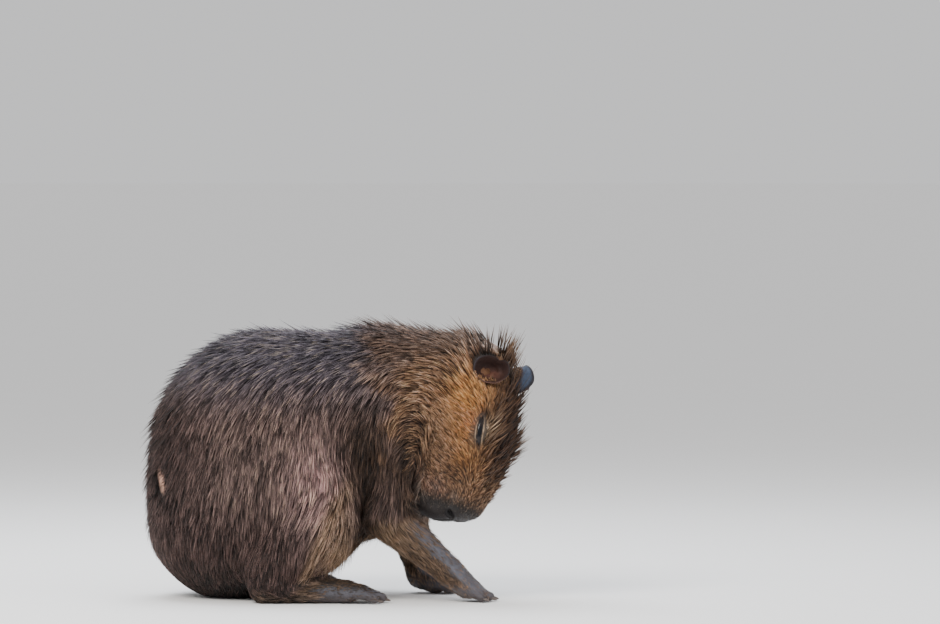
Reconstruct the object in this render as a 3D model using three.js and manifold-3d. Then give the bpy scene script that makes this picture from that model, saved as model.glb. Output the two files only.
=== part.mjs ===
// A young adult capybara sitting on its haunches with its head bowed and turned to its right, as a still
// life-size model. Millimetres, +X towards the animal's front, +Y to its left, +Z up.
// The flesh is one smooth field of named masses. It is turned into faceted solids and parted by thin cuts.
import * as THREE from 'three';
import { mergeVertices } from 'three/addons/utils/BufferGeometryUtils.js';
import Module from 'manifold-3d';

const wasm = await Module();
wasm.setup();

// Driving dimensions
const GAP = 0.3;                 // clearance between neighbouring nodes at a flat cut
const CLEAR = 1.2;               // clearance where one node's curved, faceted form is let into another
const FLOOR = 0;                 // level of every flat that rests on the floor
const CORE_DEPTH = 7;            // how far the solid core lies inside the tips of the coat
const BODY_STEP = 29;            // facet size of trunk and haunches
const HEAD_STEP = 13.1;          // facet size of the head
const FOREARM_STEP = 14;
const FOREFOOT_STEP = 8.4;
const HINDFOOT_STEP = 10.2;

// Vector helpers on plain arrays
const plus = (a, b, k = 1) => [a[0] + b[0] * k, a[1] + b[1] * k, a[2] + b[2] * k];
const dot = (a, b) => a[0] * b[0] + a[1] * b[1] + a[2] * b[2];
const times = (a, k) => [a[0] * k, a[1] * k, a[2] * k];
const cross = (a, b) => [a[1] * b[2] - a[2] * b[1], a[2] * b[0] - a[0] * b[2], a[0] * b[1] - a[1] * b[0]];
const unit = (a) => times(a, 1 / Math.hypot(...a));

// Head frame: forward from the crown to the end of the muzzle, up through the forehead, right to its right ear
const CROWN = [250, -50, 345];
const MUZZLE_END = [178, -85, 128];
const HEAD_ROLL = THREE.MathUtils.degToRad(28);
const FORWARD = unit(plus(MUZZLE_END, CROWN, -1));
const LEVEL_UP = unit(cross(FORWARD, [0, 1, 0]));
const LEVEL_RIGHT = cross(FORWARD, LEVEL_UP);
const UP = plus(times(LEVEL_UP, Math.cos(HEAD_ROLL)), LEVEL_RIGHT, Math.sin(HEAD_ROLL));
const RIGHT = cross(FORWARD, UP);
const HEAD_AXES = [FORWARD, UP, RIGHT];
const WORLD_AXES = [[1, 0, 0], [0, 1, 0], [0, 0, 1]];
const inHead = (s, u, r) => plus(plus(plus(CROWN, FORWARD, s), UP, u), RIGHT, r);

// A rounded mass: an ellipsoid, or a boxier form where power is over 2
function blob(centre, radii, axes = WORLD_AXES, power = 2) {
  return (p) => {
    const d = plus(p, centre, -1);
    const q = axes.map((axis, i) => Math.abs(dot(d, axis)) / radii[i]);
    const k = Math.pow(q.reduce((sum, v) => sum + Math.pow(v, power), 0), 1 / power);
    if (k < 1e-6) return -Math.min(...radii);
    const slope = Math.hypot(...q.map((v, i) => Math.pow(v / k, power - 1) / radii[i]));
    return (k - 1) / slope;
  };
}

// A round-ended limb that tapers from a to b. Flat is its width along side over its thickness.
function limb(a, b, radiusA, radiusB, side = [0, 1, 0], flat = 1) {
  const length = Math.hypot(...plus(b, a, -1));
  const axis = times(plus(b, a, -1), 1 / length);
  const across = unit(plus(side, axis, -dot(side, axis)));
  const through = cross(axis, across);
  return (p) => {
    const d = plus(p, a, -1);
    const along = dot(d, axis);
    const t = Math.min(1, Math.max(0, along / length));
    const r = radiusA + (radiusB - radiusA) * t;
    const q = [(along - t * length) / r, dot(d, through) / r, dot(d, across) / (r * flat)];
    const k = Math.hypot(...q);
    if (k < 1e-6) return -r;
    return (k - 1) / Math.hypot(q[0] / (k * r), q[1] / (k * r), q[2] / (k * r * flat));
  };
}

// Smooth union of fields: the fillet is about k wide
const blend = (a, b, k) => Math.min(a, b) - (Math.max(k - Math.abs(a - b), 0) ** 2) / (4 * k);
const fuse = (k, ...fields) => (p) => fields.reduce((d, field) => blend(d, field(p), k), 1e3);

// Trunk
const trunk = fuse(45,
  blob([-91, 0, 212], [180, 138, 191]),
  blob([-142, 0, 118], [128, 136, 124]),
  blob([35, 0, 258], [132, 122, 141]),
  blob([12, 0, 166], [118, 104, 88]),
  blob([92, 0, 300], [88, 92, 86]),
  blob([88, 0, 189], [74, 84, 97]));

// Haunch of one side: thigh, knee and the lower leg down to the heel
const haunch = (sign) => fuse(30,
  blob([-76, sign * 94, 148], [112, 64, 124]),
  blob([-8, sign * 114, 126], [46, 44, 58]),
  limb([-14, sign * 120, 98], [-78, sign * 124, 44], 44, 40));

// Shoulder and upper arm of one side
const upperArm = (shoulder, elbow) => fuse(25,
  blob(shoulder, [62, 42, 88]),
  limb(shoulder, elbow, 50, 34));

const SHOULDER_RIGHT = [104, -78, 232];
const ELBOW_RIGHT = [92, -98, 122];
const WRIST_RIGHT = [180, -100, 44];
const SHOULDER_LEFT = [92, 78, 232];
const ELBOW_LEFT = [112, 84, 120];
const WRIST_LEFT = [136, 70, 28];

const NECK_BASE = [96, -5, 310];
const NECK_END = [194, -42, 327];
const neck = limb(NECK_BASE, NECK_END, 92, 68);

const foreparts = fuse(42, trunk, upperArm(SHOULDER_RIGHT, ELBOW_RIGHT), upperArm(SHOULDER_LEFT, ELBOW_LEFT), neck);
const body = fuse(24, foreparts, haunch(-1), haunch(1));

// Head
const EYE_RADIUS = 15;
const EYE_AT = [105, 26, 42];        // forward, up and aside from the crown
const headMass = fuse(24,
  blob(inHead(32, -18, 0), [59, 56, 57], HEAD_AXES),             // braincase
  blob(inHead(100, 4, 0), [74, 46, 52], HEAD_AXES, 2.5),         // forehead and cheekbones
  blob(inHead(82, -50, 0), [84, 56, 60], HEAD_AXES),             // jaw muscles
  blob(inHead(142, -9, 0), [58, 57, 50], HEAD_AXES, 2.5),        // bridge of the nose and cheeks
  blob(inHead(179, -3, 0), [60, 53, 44], HEAD_AXES, 2.9),        // muzzle
  blob(inHead(200, -30, 0), [43, 34, 46], HEAD_AXES, 2.5),       // upper lips
  blob(inHead(162, -64, 0), [70, 26, 32], HEAD_AXES, 2.5),       // chin and lower jaw
  blob(inHead(105, 29, 40), [26, 16, 17], HEAD_AXES),            // swelling round the right eye
  blob(inHead(105, 29, -40), [26, 16, 17], HEAD_AXES));
const skull = fuse(24, headMass, neck);

// Front leg below the elbow, with a paw of four toes. Toes are numbered from the inside.
const FORE_TOES = [
  { aside: -15, length: 26, splay: -16 },
  { aside: -5, length: 35, splay: -5 },
  { aside: 6, length: 33, splay: 6 },
  { aside: 16, length: 24, splay: 18 },
];
const HIND_TOES = [
  { aside: -16, length: 42, splay: -9 },
  { aside: 0, length: 52, splay: 0 },
  { aside: 16, length: 42, splay: 9 },
];

// A toe's joints in plan and height, for a foot whose ball is at base, with forward the way it points
function toeJoints(base, forward, toe, outside, radius) {
  const aside = [-forward[1] * outside, forward[0] * outside, 0];
  const angle = THREE.MathUtils.degToRad(toe.splay);
  const ahead = plus(times(forward, Math.cos(angle)), aside, Math.sin(angle));
  const root = plus(base, aside, toe.aside);
  const knuckle = plus([root[0], root[1], radius + 8], ahead, toe.length * 0.45);
  const tip = plus([root[0], root[1], radius - 1], ahead, toe.length);
  return { root, knuckle, tip, ahead };
}

function foot(base, forward, toes, outside, radius) {
  return toes.map((toe) => {
    const { root, knuckle, tip } = toeJoints(base, forward, toe, outside, radius);
    return fuse(6, limb(root, knuckle, radius + 2, radius), limb(knuckle, tip, radius, radius * 0.8));
  });
}

function foreleg(elbow, wrist, ball, forward, outside) {
  return fuse(9,
    limb(elbow, wrist, 33, 20, [0, 1, 0], 0.92),
    limb(wrist, ball, 20, 18, [0, 1, 0], 1.25),
    ...foot(ball, forward, FORE_TOES, outside, 8));
}

const BALL_RIGHT = [205, -101, 22];
const BALL_LEFT = [157, 61, 17];
const AHEAD_RIGHT = unit([1, -0.04, 0]);
const AHEAD_LEFT = unit([1, -0.2, 0]);
const forelegRight = foreleg(ELBOW_RIGHT, WRIST_RIGHT, BALL_RIGHT, AHEAD_RIGHT, -1);
const forelegLeft = foreleg(ELBOW_LEFT, WRIST_LEFT, BALL_LEFT, AHEAD_LEFT, 1);

// Hind foot, flat on the floor from heel to toes
const HIND_AHEAD = unit([1, 0, 0]);
const hindFoot = (heel, ball, outside) => fuse(9,
  limb(heel, ball, 24, 17, [0, 1, 0], 1.3),
  ...foot(ball, HIND_AHEAD, HIND_TOES, outside, 9));
const HEEL_RIGHT = [-92, -128, 22];
const HIND_BALL_RIGHT = [28, -132, 17];
const HEEL_LEFT = [-160, 128, 22];
const HIND_BALL_LEFT = [-40, 134, 17];

const CORNERS = [0, 1, 2, 3, 4, 5, 6, 7].map((c) => [c & 1, (c >> 1) & 1, (c >> 2) & 1]);
const CELL_FACES = [[1, 2, 4], [2, 1, 4], [4, 1, 2]].flatMap(([d, e, f]) => [0, d].map((base) => ({ base, e, f })));

// The separate sheets of surface inside one grid cell, each as the list of cell edges that it crosses
function sheetsOf(v) {
  const parent = new Map();
  const rootOf = (edge) => (parent.get(edge) === edge ? edge : rootOf(parent.get(edge)));
  const edgeId = (corner, bit) => (corner & ~bit) * 8 + (corner | bit);
  for (let a = 0; a < 8; a++)
    for (const bit of [1, 2, 4])
      if (!(a & bit) && v[a] < 0 !== v[a | bit] < 0) parent.set(edgeId(a, bit), edgeId(a, bit));
  for (const { base, e, f } of CELL_FACES) {
    const edges = [edgeId(base, e), edgeId(base, f), edgeId(base | f, e), edgeId(base | e, f)];
    const crossed = edges.filter((edge) => parent.has(edge));
    if (crossed.length === 2) parent.set(rootOf(crossed[0]), rootOf(crossed[1]));
    if (crossed.length < 4) continue;
    for (const corner of [base, base | e, base | f, base | e | f])
      if (v[corner] < 0) parent.set(rootOf(edgeId(corner, e)), rootOf(edgeId(corner, f)));
  }
  const sheets = new Map();
  for (const edge of parent.keys()) {
    const root = rootOf(edge);
    sheets.set(root, [...(sheets.get(root) ?? []), { a: edge >> 3, b: edge & 7 }]);
  }
  return [...sheets.values()];
}

// Turns a field into a closed faceted mesh by surface nets, with each vertex moved onto the surface
function netted(field, low, high, step) {
  const count = [0, 1, 2].map((i) => Math.ceil((high[i] - low[i]) / step) + 1);
  const at = (i, j, k) => (k * count[1] + j) * count[0] + i;
  const point = (i, j, k) => [low[0] + i * step, low[1] + j * step, low[2] + k * step];
  const value = new Float32Array(count[0] * count[1] * count[2]);
  for (let k = 0; k < count[2]; k++)
    for (let j = 0; j < count[1]; j++)
      for (let i = 0; i < count[0]; i++) {
        const rim = [i, j, k].some((v, n) => v === 0 || v === count[n] - 1);
        value[at(i, j, k)] = rim ? step : field(point(i, j, k));
      }
  const vertex = new Map();
  const points = [];
  for (let k = 0; k < count[2] - 1; k++)
    for (let j = 0; j < count[1] - 1; j++)
      for (let i = 0; i < count[0] - 1; i++) {
        const v = CORNERS.map((c) => value[at(i + c[0], j + c[1], k + c[2])]);
        if (v.every((x) => x < 0) || v.every((x) => x >= 0)) continue;
        for (const sheet of sheetsOf(v)) {
          const sum = sheet.reduce((total, { a, b }) => {
            const t = v[a] / (v[a] - v[b]);
            return plus(total, plus(times(CORNERS[a], 1 - t), times(CORNERS[b], t)));
          }, [0, 0, 0]);
          for (const { a, b } of sheet) vertex.set(at(i, j, k) * 64 + a * 8 + b, points.length);
          points.push(plus(point(i, j, k), times(sum, step / sheet.length)));
        }
      }
  const faces = [];
  const quad = (a, b, c, d, flip) => {
    const [p, q, r, s] = [a, b, c, d].map((n) => points[n]);
    const shortAC = Math.hypot(...plus(p, r, -1)) <= Math.hypot(...plus(q, s, -1));
    const pair = shortAC ? [[a, b, c], [a, c, d]] : [[a, b, d], [b, c, d]];
    for (const [x, y, z] of pair) faces.push(...(flip ? [x, z, y] : [x, y, z]));
  };
  for (let k = 0; k < count[2] - 1; k++)
    for (let j = 0; j < count[1] - 1; j++)
      for (let i = 0; i < count[0] - 1; i++) {
        const inside = value[at(i, j, k)] < 0;
        const cell = (bit, di, dj, dk) => {
          const a = -di - 2 * dj - 4 * dk;
          return vertex.get(at(i + di, j + dj, k + dk) * 64 + a * 8 + (a | bit));
        };
        if (inside !== value[at(i + 1, j, k)] < 0)
          quad(cell(1, 0, -1, -1), cell(1, 0, 0, -1), cell(1, 0, 0, 0), cell(1, 0, -1, 0), !inside);
        if (inside !== value[at(i, j + 1, k)] < 0)
          quad(cell(2, -1, 0, -1), cell(2, -1, 0, 0), cell(2, 0, 0, 0), cell(2, 0, 0, -1), !inside);
        if (inside !== value[at(i, j, k + 1)] < 0)
          quad(cell(4, -1, -1, 0), cell(4, 0, -1, 0), cell(4, 0, 0, 0), cell(4, -1, 0, 0), !inside);
      }
  for (let round = 0; round < 2; round++)
    points.forEach((p, n) => {
      const slope = slopeOf(field, p);
      const move = Math.max(-step / 2, Math.min(step / 2, field(p) / Math.max(dot(slope, slope), 0.2)));
      points[n] = plus(p, slope, -move);
    });
  return solidFrom(new Float32Array(points.flat()), new Uint32Array(faces));
}

function slopeOf(field, p, h = 0.5) {
  return [0, 1, 2].map((i) => {
    const d = [0, 0, 0];
    d[i] = h;
    return (field(plus(p, d)) - field(plus(p, d, -1))) / (2 * h);
  });
}

function solidFrom(vertProperties, triVerts) {
  return new wasm.Manifold(new wasm.Mesh({ numProp: 3, vertProperties, triVerts }));
}

// A three.js geometry, placed by a matrix, as a solid
function solidOf(geometry, matrix = new THREE.Matrix4()) {
  const g = geometry.clone().applyMatrix4(matrix);
  for (const name of Object.keys(g.attributes)) if (name !== 'position') g.deleteAttribute(name);
  const merged = mergeVertices(g, 1e-4);
  return solidFrom(merged.attributes.position.array, new Uint32Array(merged.index.array));
}

// The half of space beyond a plane, as a large box
function beyond(point, normal, [wide, tall, deep] = [1500, 1500, 1500], side = [0, 1, 0]) {
  const z = unit(normal);
  const x = unit(cross(side, z));
  const y = cross(z, x);
  const basis = new THREE.Matrix4().makeBasis(...[x, y, z].map((v) => new THREE.Vector3(...v)));
  const centre = plus(point, z, deep / 2);
  return solidOf(new THREE.BoxGeometry(wide, tall, deep), basis.setPosition(...centre));
}

const largest = (solid) => solid.decompose().sort((a, b) => b.volume() - a.volume())[0];

// Seeded random numbers from 0 to 1
let seed = 7;
function random() {
  seed = (seed * 1664525 + 1013904223) % 4294967296;
  return seed / 4294967296;
}
const between = (low, high) => low + (high - low) * random();

// The way the coat lies: back along the top of the body, down its sides and down the limbs
function lieAt(p, normal) {
  const top = Math.min(1, Math.max(0, (p[2] - 200) / 170));
  const nape = Math.min(1, Math.max(0, (p[0] - 90) / 60)) * Math.min(1, Math.max(0, (p[2] - 230) / 60));
  const d = [-0.2 - 0.9 * top - 0.6 * nape, 0, -1 + 0.55 * top + 0.5 * nape];
  return unit(plus(d, normal, -dot(d, normal)));
}

// Roots of the locks: spread evenly over the coat, at least spacing apart
const LOCK = { spacing: 71.7, length: 106, width: 72, thick: 13, lift: 2, sunk: 7 };
function lockRoots() {
  const roots = [];
  for (let tries = 0; tries < 6000; tries++) {
    const aim = unit([between(-1, 1), between(-1, 1), between(-1, 1)]);
    let p = plus([-30, 0, 190], aim, 400);
    for (let i = 0; i < 40; i++) p = plus(p, aim, -body(p) * 0.8);
    const normal = unit(slopeOf(body, p));
    const covered = p[2] < 100 || normal[2] < -0.55 || headMass(p) < 16;
    if (covered || roots.some((r) => Math.hypot(...plus(r, p, -1)) < LOCK.spacing)) continue;
    roots.push(p);
  }
  return roots;
}

// One flat, tapered lock that follows the surface from its sunk root out to its lifted tip
function lock(root) {
  const length = LOCK.length * between(0.85, 1.15);
  const width = LOCK.width * between(0.88, 1.12);
  const turn = between(-0.3, 0.3);
  const rings = [0, 0.3, 0.62];
  const points = [];
  let p = root;
  let reached = 0;
  for (const t of [...rings, 1]) {
    const normal = unit(slopeOf(body, p));
    const lie = lieAt(p, normal);
    const ahead = unit(plus(lie, cross(normal, lie), turn * (1 - t)));
    p = plus(p, ahead, (t - reached) * length);
    reached = t;
    const height = LOCK.lift * t * t - (CORE_DEPTH + LOCK.sunk) * (1 - t) ** 2 - LOCK.thick * 0.3 * (1 - t);
    p = plus(p, unit(slopeOf(body, p)), height - body(p));
    const n = unit(slopeOf(body, p));
    const side = unit(cross(n, ahead));
    if (t === 1) {
      points.push(p);
      continue;
    }
    const half = width / 2 * [0.7, 1, 0.78][rings.indexOf(t)];
    const tall = LOCK.thick / 2 * (1 - 0.35 * t);
    points.push(plus(p, side, half), plus(p, n, tall), plus(p, side, -half), plus(p, n, -tall));
  }
  const faces = [0, 2, 1, 0, 3, 2];
  for (let ring = 0; ring < rings.length; ring++)
    for (let i = 0; i < 4; i++) {
      const [a, b] = [ring * 4 + i, ring * 4 + (i + 1) % 4];
      if (ring === rings.length - 1) faces.push(a, b, points.length - 1);
      else faces.push(a, b, a + 4, b, b + 4, a + 4);
    }
  return solidFrom(new Float32Array(points.flat()), new Uint32Array(faces));
}

function locksOver(solid) {
  return lockRoots().reduce((sum, root) => sum.add(lock(root)), solid);
}

const part = new THREE.Group();

// Joins the corners that a cut leaves closer than near, and drops the triangles that vanish with them
function welded(mesh, near = 0.02) {
  const cells = new Map();
  const kept = [];
  const key = (p) => p.map((v) => Math.floor(v / near));
  const corner = Array.from({ length: mesh.numVert }, (_, i) => {
    const p = [...mesh.vertProperties.subarray(i * mesh.numProp, i * mesh.numProp + 3)];
    const home = key(p);
    for (let n = 0; n < 27; n++) {
      const cell = [home[0] + n % 3 - 1, home[1] + Math.floor(n / 3) % 3 - 1, home[2] + Math.floor(n / 9) - 1];
      const found = (cells.get(cell.join()) ?? []).find((k) => Math.hypot(...plus(kept[k], p, -1)) < near);
      if (found !== undefined) return found;
    }
    cells.set(home.join(), [...(cells.get(home.join()) ?? []), kept.length]);
    return kept.push(p) - 1;
  });
  const faces = new Map();
  for (let t = 0; t < mesh.triVerts.length; t += 3) {
    const face = [...mesh.triVerts.subarray(t, t + 3)].map((n) => corner[n]);
    if (new Set(face).size < 3) continue;
    const same = [...face].sort((a, b) => a - b).join();
    if (faces.has(same)) faces.delete(same);
    else faces.set(same, face);
  }
  return { points: kept, faces: [...faces.values()] };
}

function addNode(name, solid, material) {
  const { points, faces } = welded(largest(solid).getMesh());
  const geometry = new THREE.BufferGeometry()
    .setAttribute('position', new THREE.BufferAttribute(new Float32Array(points.flat()), 3))
    .setIndex(new THREE.BufferAttribute(new Uint32Array(faces.flat()), 1));
  const node = new THREE.Mesh(geometry, material);
  node.name = name;
  part.add(node);
  return node;
}

const coat = new THREE.MeshStandardMaterial({ color: 0x4d3b32, roughness: 0.75, metalness: 0 });
const eye = new THREE.MeshStandardMaterial({ color: 0x15100e, roughness: 0.1, metalness: 0 });

// Claws, blunt like small hooves
const CLAW = { length: 16, width: 8.5, depth: 6 };
function claw(tip, ahead) {
  const profile = [[0, -0.5], [0.46, -0.4], [0.42, 0.15], [0, 0.5]].map((p) => new THREE.Vector2(...p));
  const lathe = new THREE.LatheGeometry(profile, 6);
  const z = new THREE.Vector3(...ahead).setZ(-0.16).normalize();
  const x = new THREE.Vector3(0, 0, 1).cross(z).normalize();
  const basis = new THREE.Matrix4().makeBasis(x, z, new THREE.Vector3().crossVectors(x, z));
  const scale = new THREE.Matrix4().makeScale(CLAW.width, CLAW.length, CLAW.depth);
  const at = new THREE.Vector3(...plus(tip, ahead, 7)).setZ(CLAW.depth / 2 + 2.2);
  return solidOf(lathe, basis.setPosition(at).multiply(scale));
}

// Ears: a rounded cup with a thick rim, open to the side
const EAR = { length: 44, width: 50, depth: 22, thick: 3.2 };
const EAR_RIGHT = [12, 20, 54];        // forward, up and aside from the crown
const EAR_LEFT = [1, 19, -54];
function ear(sign, at) {
  const profile = [];
  const turns = 3;
  for (let i = 0; i <= turns; i++) {
    const a = (i / turns) * Math.PI * 0.5;
    profile.push([Math.sin(a), -Math.cos(a)]);
  }
  const inner = profile.map(([r, h]) => [r * (1 - EAR.thick * 2 / EAR.width), h * (1 - EAR.thick / EAR.depth)]);
  const outline = [...profile, [1 - EAR.thick / EAR.width, 0.06], ...inner.reverse()];
  outline[0][0] = 0;
  outline[outline.length - 1][0] = 0;
  const bowl = new THREE.LatheGeometry(outline.map((p) => new THREE.Vector2(...p)), 12);
  const position = bowl.attributes.position;
  for (let i = 0; i < position.count; i++) {
    const [x, h, z] = [position.getX(i), position.getY(i), position.getZ(i)];
    const rear = Math.max(0, -z);
    position.setXYZ(i, x * EAR.width / 2 * (1 - 0.1 * rear), h * EAR.depth + rear * rear * 7, z * EAR.length / 2);
  }
  const open = unit(plus(plus(times(RIGHT, sign * 0.82), UP, 0.42), FORWARD, 0.1));
  const back = unit(plus(plus(times(FORWARD, -1), UP, -0.2), open, -dot(plus(times(FORWARD, -1), UP, -0.2), open)));
  const z = times(back, -1);
  const x = cross(open, z);
  const basis = new THREE.Matrix4().makeBasis(...[x, open, z].map((v) => new THREE.Vector3(...v)));
  return solidOf(bowl, basis.setPosition(new THREE.Vector3(...inHead(...at))));
}

// Building
const above = beyond([0, 0, FLOOR], [0, 0, 1]);
const placed = (axes, at, scale) => new THREE.Matrix4()
  .makeBasis(...axes.map((v) => new THREE.Vector3(...v)))
  .setPosition(...at)
  .scale(new THREE.Vector3(...scale));
const ellipsoid = (centre, radii, axes = WORLD_AXES, around = 18, rows = 12) =>
  solidOf(new THREE.SphereGeometry(1, around, rows), placed(axes, centre, radii));
const bodyBox = [[-300, -200, -40], [300, 200, 430]];
const headBox = [[60, -190, 70], [340, 60, 430]];
const core = (p) => body(p) + CORE_DEPTH * Math.min(1, Math.max(0, (p[2] - 60) / 60));
const forelegBox = (wrist) => [[40, wrist[1] - 60, -12], [290, wrist[1] + 75, 170]];
const hindFootBox = (ball) => [[-140, ball[1] - 60, -12], [110, ball[1] + 60, 70]];

// The bare legs with some room round them, as far as they stand out of the coat
function legRoom() {
  const coated = netted((p) => body(p) - CLEAR, ...bodyBox, BODY_STEP);
  const room = (field, box, step) => netted((p) => field(p) - CLEAR, ...box, step).subtract(coated);
  return room(forelegRight, forelegBox(WRIST_RIGHT), FOREARM_STEP)
    .add(room(forelegLeft, forelegBox(WRIST_LEFT), FOREARM_STEP))
    .add(room(hindFoot(HEEL_RIGHT, HIND_BALL_RIGHT, -1), hindFootBox(HIND_BALL_RIGHT), HINDFOOT_STEP))
    .add(room(hindFoot(HEEL_LEFT, HIND_BALL_LEFT, 1), hindFootBox(HIND_BALL_LEFT), HINDFOOT_STEP));
}
const bodySolid = locksOver(netted(core, ...bodyBox, BODY_STEP)).subtract(legRoom()).intersect(above);
const bodyClear = netted((p) => body(p) - 2 * CLEAR, ...bodyBox, BODY_STEP);
const headSolid = netted(skull, ...headBox, HEAD_STEP);
const headClear = netted((p) => skull(p) - CLEAR, ...headBox, HEAD_STEP);

// Features cut into the head
const SLIT = { length: 40, height: 8 };
const MOUTH = { at: [252, -48, 0], tilt: 0.16, depth: 5, height: 3, length: 96 };
const NOSTRIL = { at: [233, 14, 23], radii: [12, 5, 8] };
const PHILTRUM = { at: [239, -24, 0], size: [24, 42, 3] };

const headBasis = (scale, at) => placed(HEAD_AXES, inHead(...at), scale);
const eyeball = (sign, radius) => {
  const [s, u, r] = EYE_AT;
  return ellipsoid(inHead(s, u, sign * r), [radius, radius, radius], HEAD_AXES, 10, 8);
};

function eyeOpening(sign) {
  const [s, u, r] = EYE_AT;
  const socket = eyeball(sign, EYE_RADIUS + GAP);
  const slit = new THREE.CylinderGeometry(1, 1, 1, 10).rotateX(Math.PI / 2);
  return socket.add(solidOf(slit, headBasis([SLIT.length / 2, SLIT.height / 2, 40], [s, u, sign * (r + 20)])));
}

function nostril(sign) {
  const [s, u, r] = NOSTRIL.at;
  return ellipsoid(inHead(s, u, sign * r), NOSTRIL.radii, HEAD_AXES, 10, 8);
}

// Line of the mouth and the cleft of the upper lip, both grooves of one depth
function mouthLine() {
  const core = netted((p) => skull(p) + MOUTH.depth, ...headBox, HEAD_STEP * 1.5);
  const across = unit(plus(UP, FORWARD, MOUTH.tilt));
  const along = cross(across, RIGHT);
  const at = plus(inHead(...MOUTH.at), along, MOUTH.length / 2);
  const line = solidOf(new THREE.BoxGeometry(1, 1, 1),
    placed([along, across, RIGHT], at, [MOUTH.length, MOUTH.height, 200]));
  const cleft = solidOf(new THREE.BoxGeometry(1, 1, 1), headBasis(PHILTRUM.size, PHILTRUM.at));
  return line.add(cleft).subtract(core);
}

// Neck: between an upright cut at the shoulders and a slanting one behind the ears and jaw
const HEAD_CUT = { at: [166, -30, 318], normal: unit([0.74, -0.2, -0.64]) };
const NECK_CUT = { at: [104, 0, 375], normal: unit([0.96, -0.28, 0]), size: [300, 400, 300] };
const headSide = (gap) => beyond(plus(HEAD_CUT.at, HEAD_CUT.normal, gap), HEAD_CUT.normal);
const neckSide = (gap) => beyond(plus(NECK_CUT.at, NECK_CUT.normal, -gap), NECK_CUT.normal,
  NECK_CUT.size.map((v) => v + 2 * gap));
const headCutter = netted((p) => skull(p) - 2 * CLEAR, ...headBox, 18).intersect(headSide(-GAP));
let head = headSolid.intersect(headSide(0)).subtract(mouthLine());
for (const sign of [1, -1]) head = head.subtract(eyeOpening(sign)).subtract(nostril(sign));
addNode('head', head, coat);
addNode('neck', bodySolid.intersect(neckSide(0)).subtract(headSide(-GAP)), coat);

const armRegion = (sign, gap) => ellipsoid([96, sign * 112, 145], [66 + gap, 52 + gap, 88 + gap]);
const haunchRegion = (sign, gap) => ellipsoid([-74, sign * 142, 148], [118 + gap, 88 + gap, 138 + gap]);
const SHANK_TOP = 74;
const below = (gap) => beyond([0, 0, SHANK_TOP + gap], [0, 0, -1]);
let torso = bodySolid.subtract(neckSide(GAP).subtract(headSide(0))).subtract(headCutter);
for (const [side, sign] of [['right', -1], ['left', 1]]) {
  const arm = bodySolid.intersect(armRegion(sign, 0)).subtract(haunchRegion(sign, GAP)).subtract(headCutter);
  addNode(`upper_arm_${side}`, arm, coat);
  const haunchSolid = bodySolid.intersect(haunchRegion(sign, 0));
  addNode(`haunch_${side}`, haunchSolid.subtract(below(GAP)), coat);
  addNode(`shank_${side}`, haunchSolid.intersect(below(0)), coat);
  torso = torso.subtract(armRegion(sign, GAP)).subtract(haunchRegion(sign, GAP));
}
addNode('torso', torso, coat);

function addForeleg(side, field, wrist, ball, forward, outside) {
  const cutAt = plus(wrist, plus(ball, wrist, -1), 0.12);
  const normal = unit(plus(unit(plus(ball, wrist, -1)), [0.5, 0, -0.6]));
  const box = forelegBox(wrist);
  const upper = netted(field, ...box, FOREARM_STEP).subtract(bodyClear).subtract(headCutter);
  const lower = netted(field, ...box, FOREFOOT_STEP);
  const lowerClear = netted((p) => field(p) - 1.7 * CLEAR, ...box, FOREFOOT_STEP);
  addNode(`forearm_${side}`, upper.subtract(beyond(plus(cutAt, normal, -GAP), normal)).intersect(above), coat);
  addNode(`forefoot_${side}`, lower.intersect(beyond(cutAt, normal)).intersect(above), coat);
  FORE_TOES.forEach((toe, i) => {
    const { tip, ahead } = toeJoints(ball, forward, toe, outside, 8);
    addNode(`claw_fore_${side}_${i + 1}`, claw(tip, ahead).subtract(lowerClear).subtract(lower), horn);
  });
}
const horn = new THREE.MeshStandardMaterial({ color: 0x2c2826, roughness: 0.45, metalness: 0 });
addForeleg('right', forelegRight, WRIST_RIGHT, BALL_RIGHT, AHEAD_RIGHT, -1);
addForeleg('left', forelegLeft, WRIST_LEFT, BALL_LEFT, AHEAD_LEFT, 1);

for (const [side, heel, ball, outside] of [
  ['right', HEEL_RIGHT, HIND_BALL_RIGHT, -1], ['left', HEEL_LEFT, HIND_BALL_LEFT, 1]]) {
  const field = hindFoot(heel, ball, outside);
  const box = hindFootBox(ball);
  const sole = netted(field, ...box, HINDFOOT_STEP);
  addNode(`hind_foot_${side}`, sole.subtract(bodyClear).intersect(above), coat);
  const footClear = netted((p) => field(p) - 1.7 * CLEAR, ...box, HINDFOOT_STEP);
  HIND_TOES.forEach((toe, i) => {
    const { tip, ahead } = toeJoints(ball, HIND_AHEAD, toe, outside, 9);
    addNode(`claw_hind_${side}_${i + 1}`, claw(tip, ahead).subtract(footClear).subtract(sole), horn);
  });
}

for (const [side, sign, earAt] of [['right', 1, EAR_RIGHT], ['left', -1, EAR_LEFT]]) {
  addNode(`ear_${side}`, ear(sign, earAt).subtract(headClear), coat);
  addNode(`eye_${side}`, eyeball(sign, EYE_RADIUS), eye);
}

const box = new THREE.Box3().setFromObject(part);
part.position.set(-(box.min.x + box.max.x) / 2, -(box.min.y + box.max.y) / 2, 0);

export default part;
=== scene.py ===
import math

import bmesh
import bpy
import numpy as np
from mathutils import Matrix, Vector, kdtree


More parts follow.
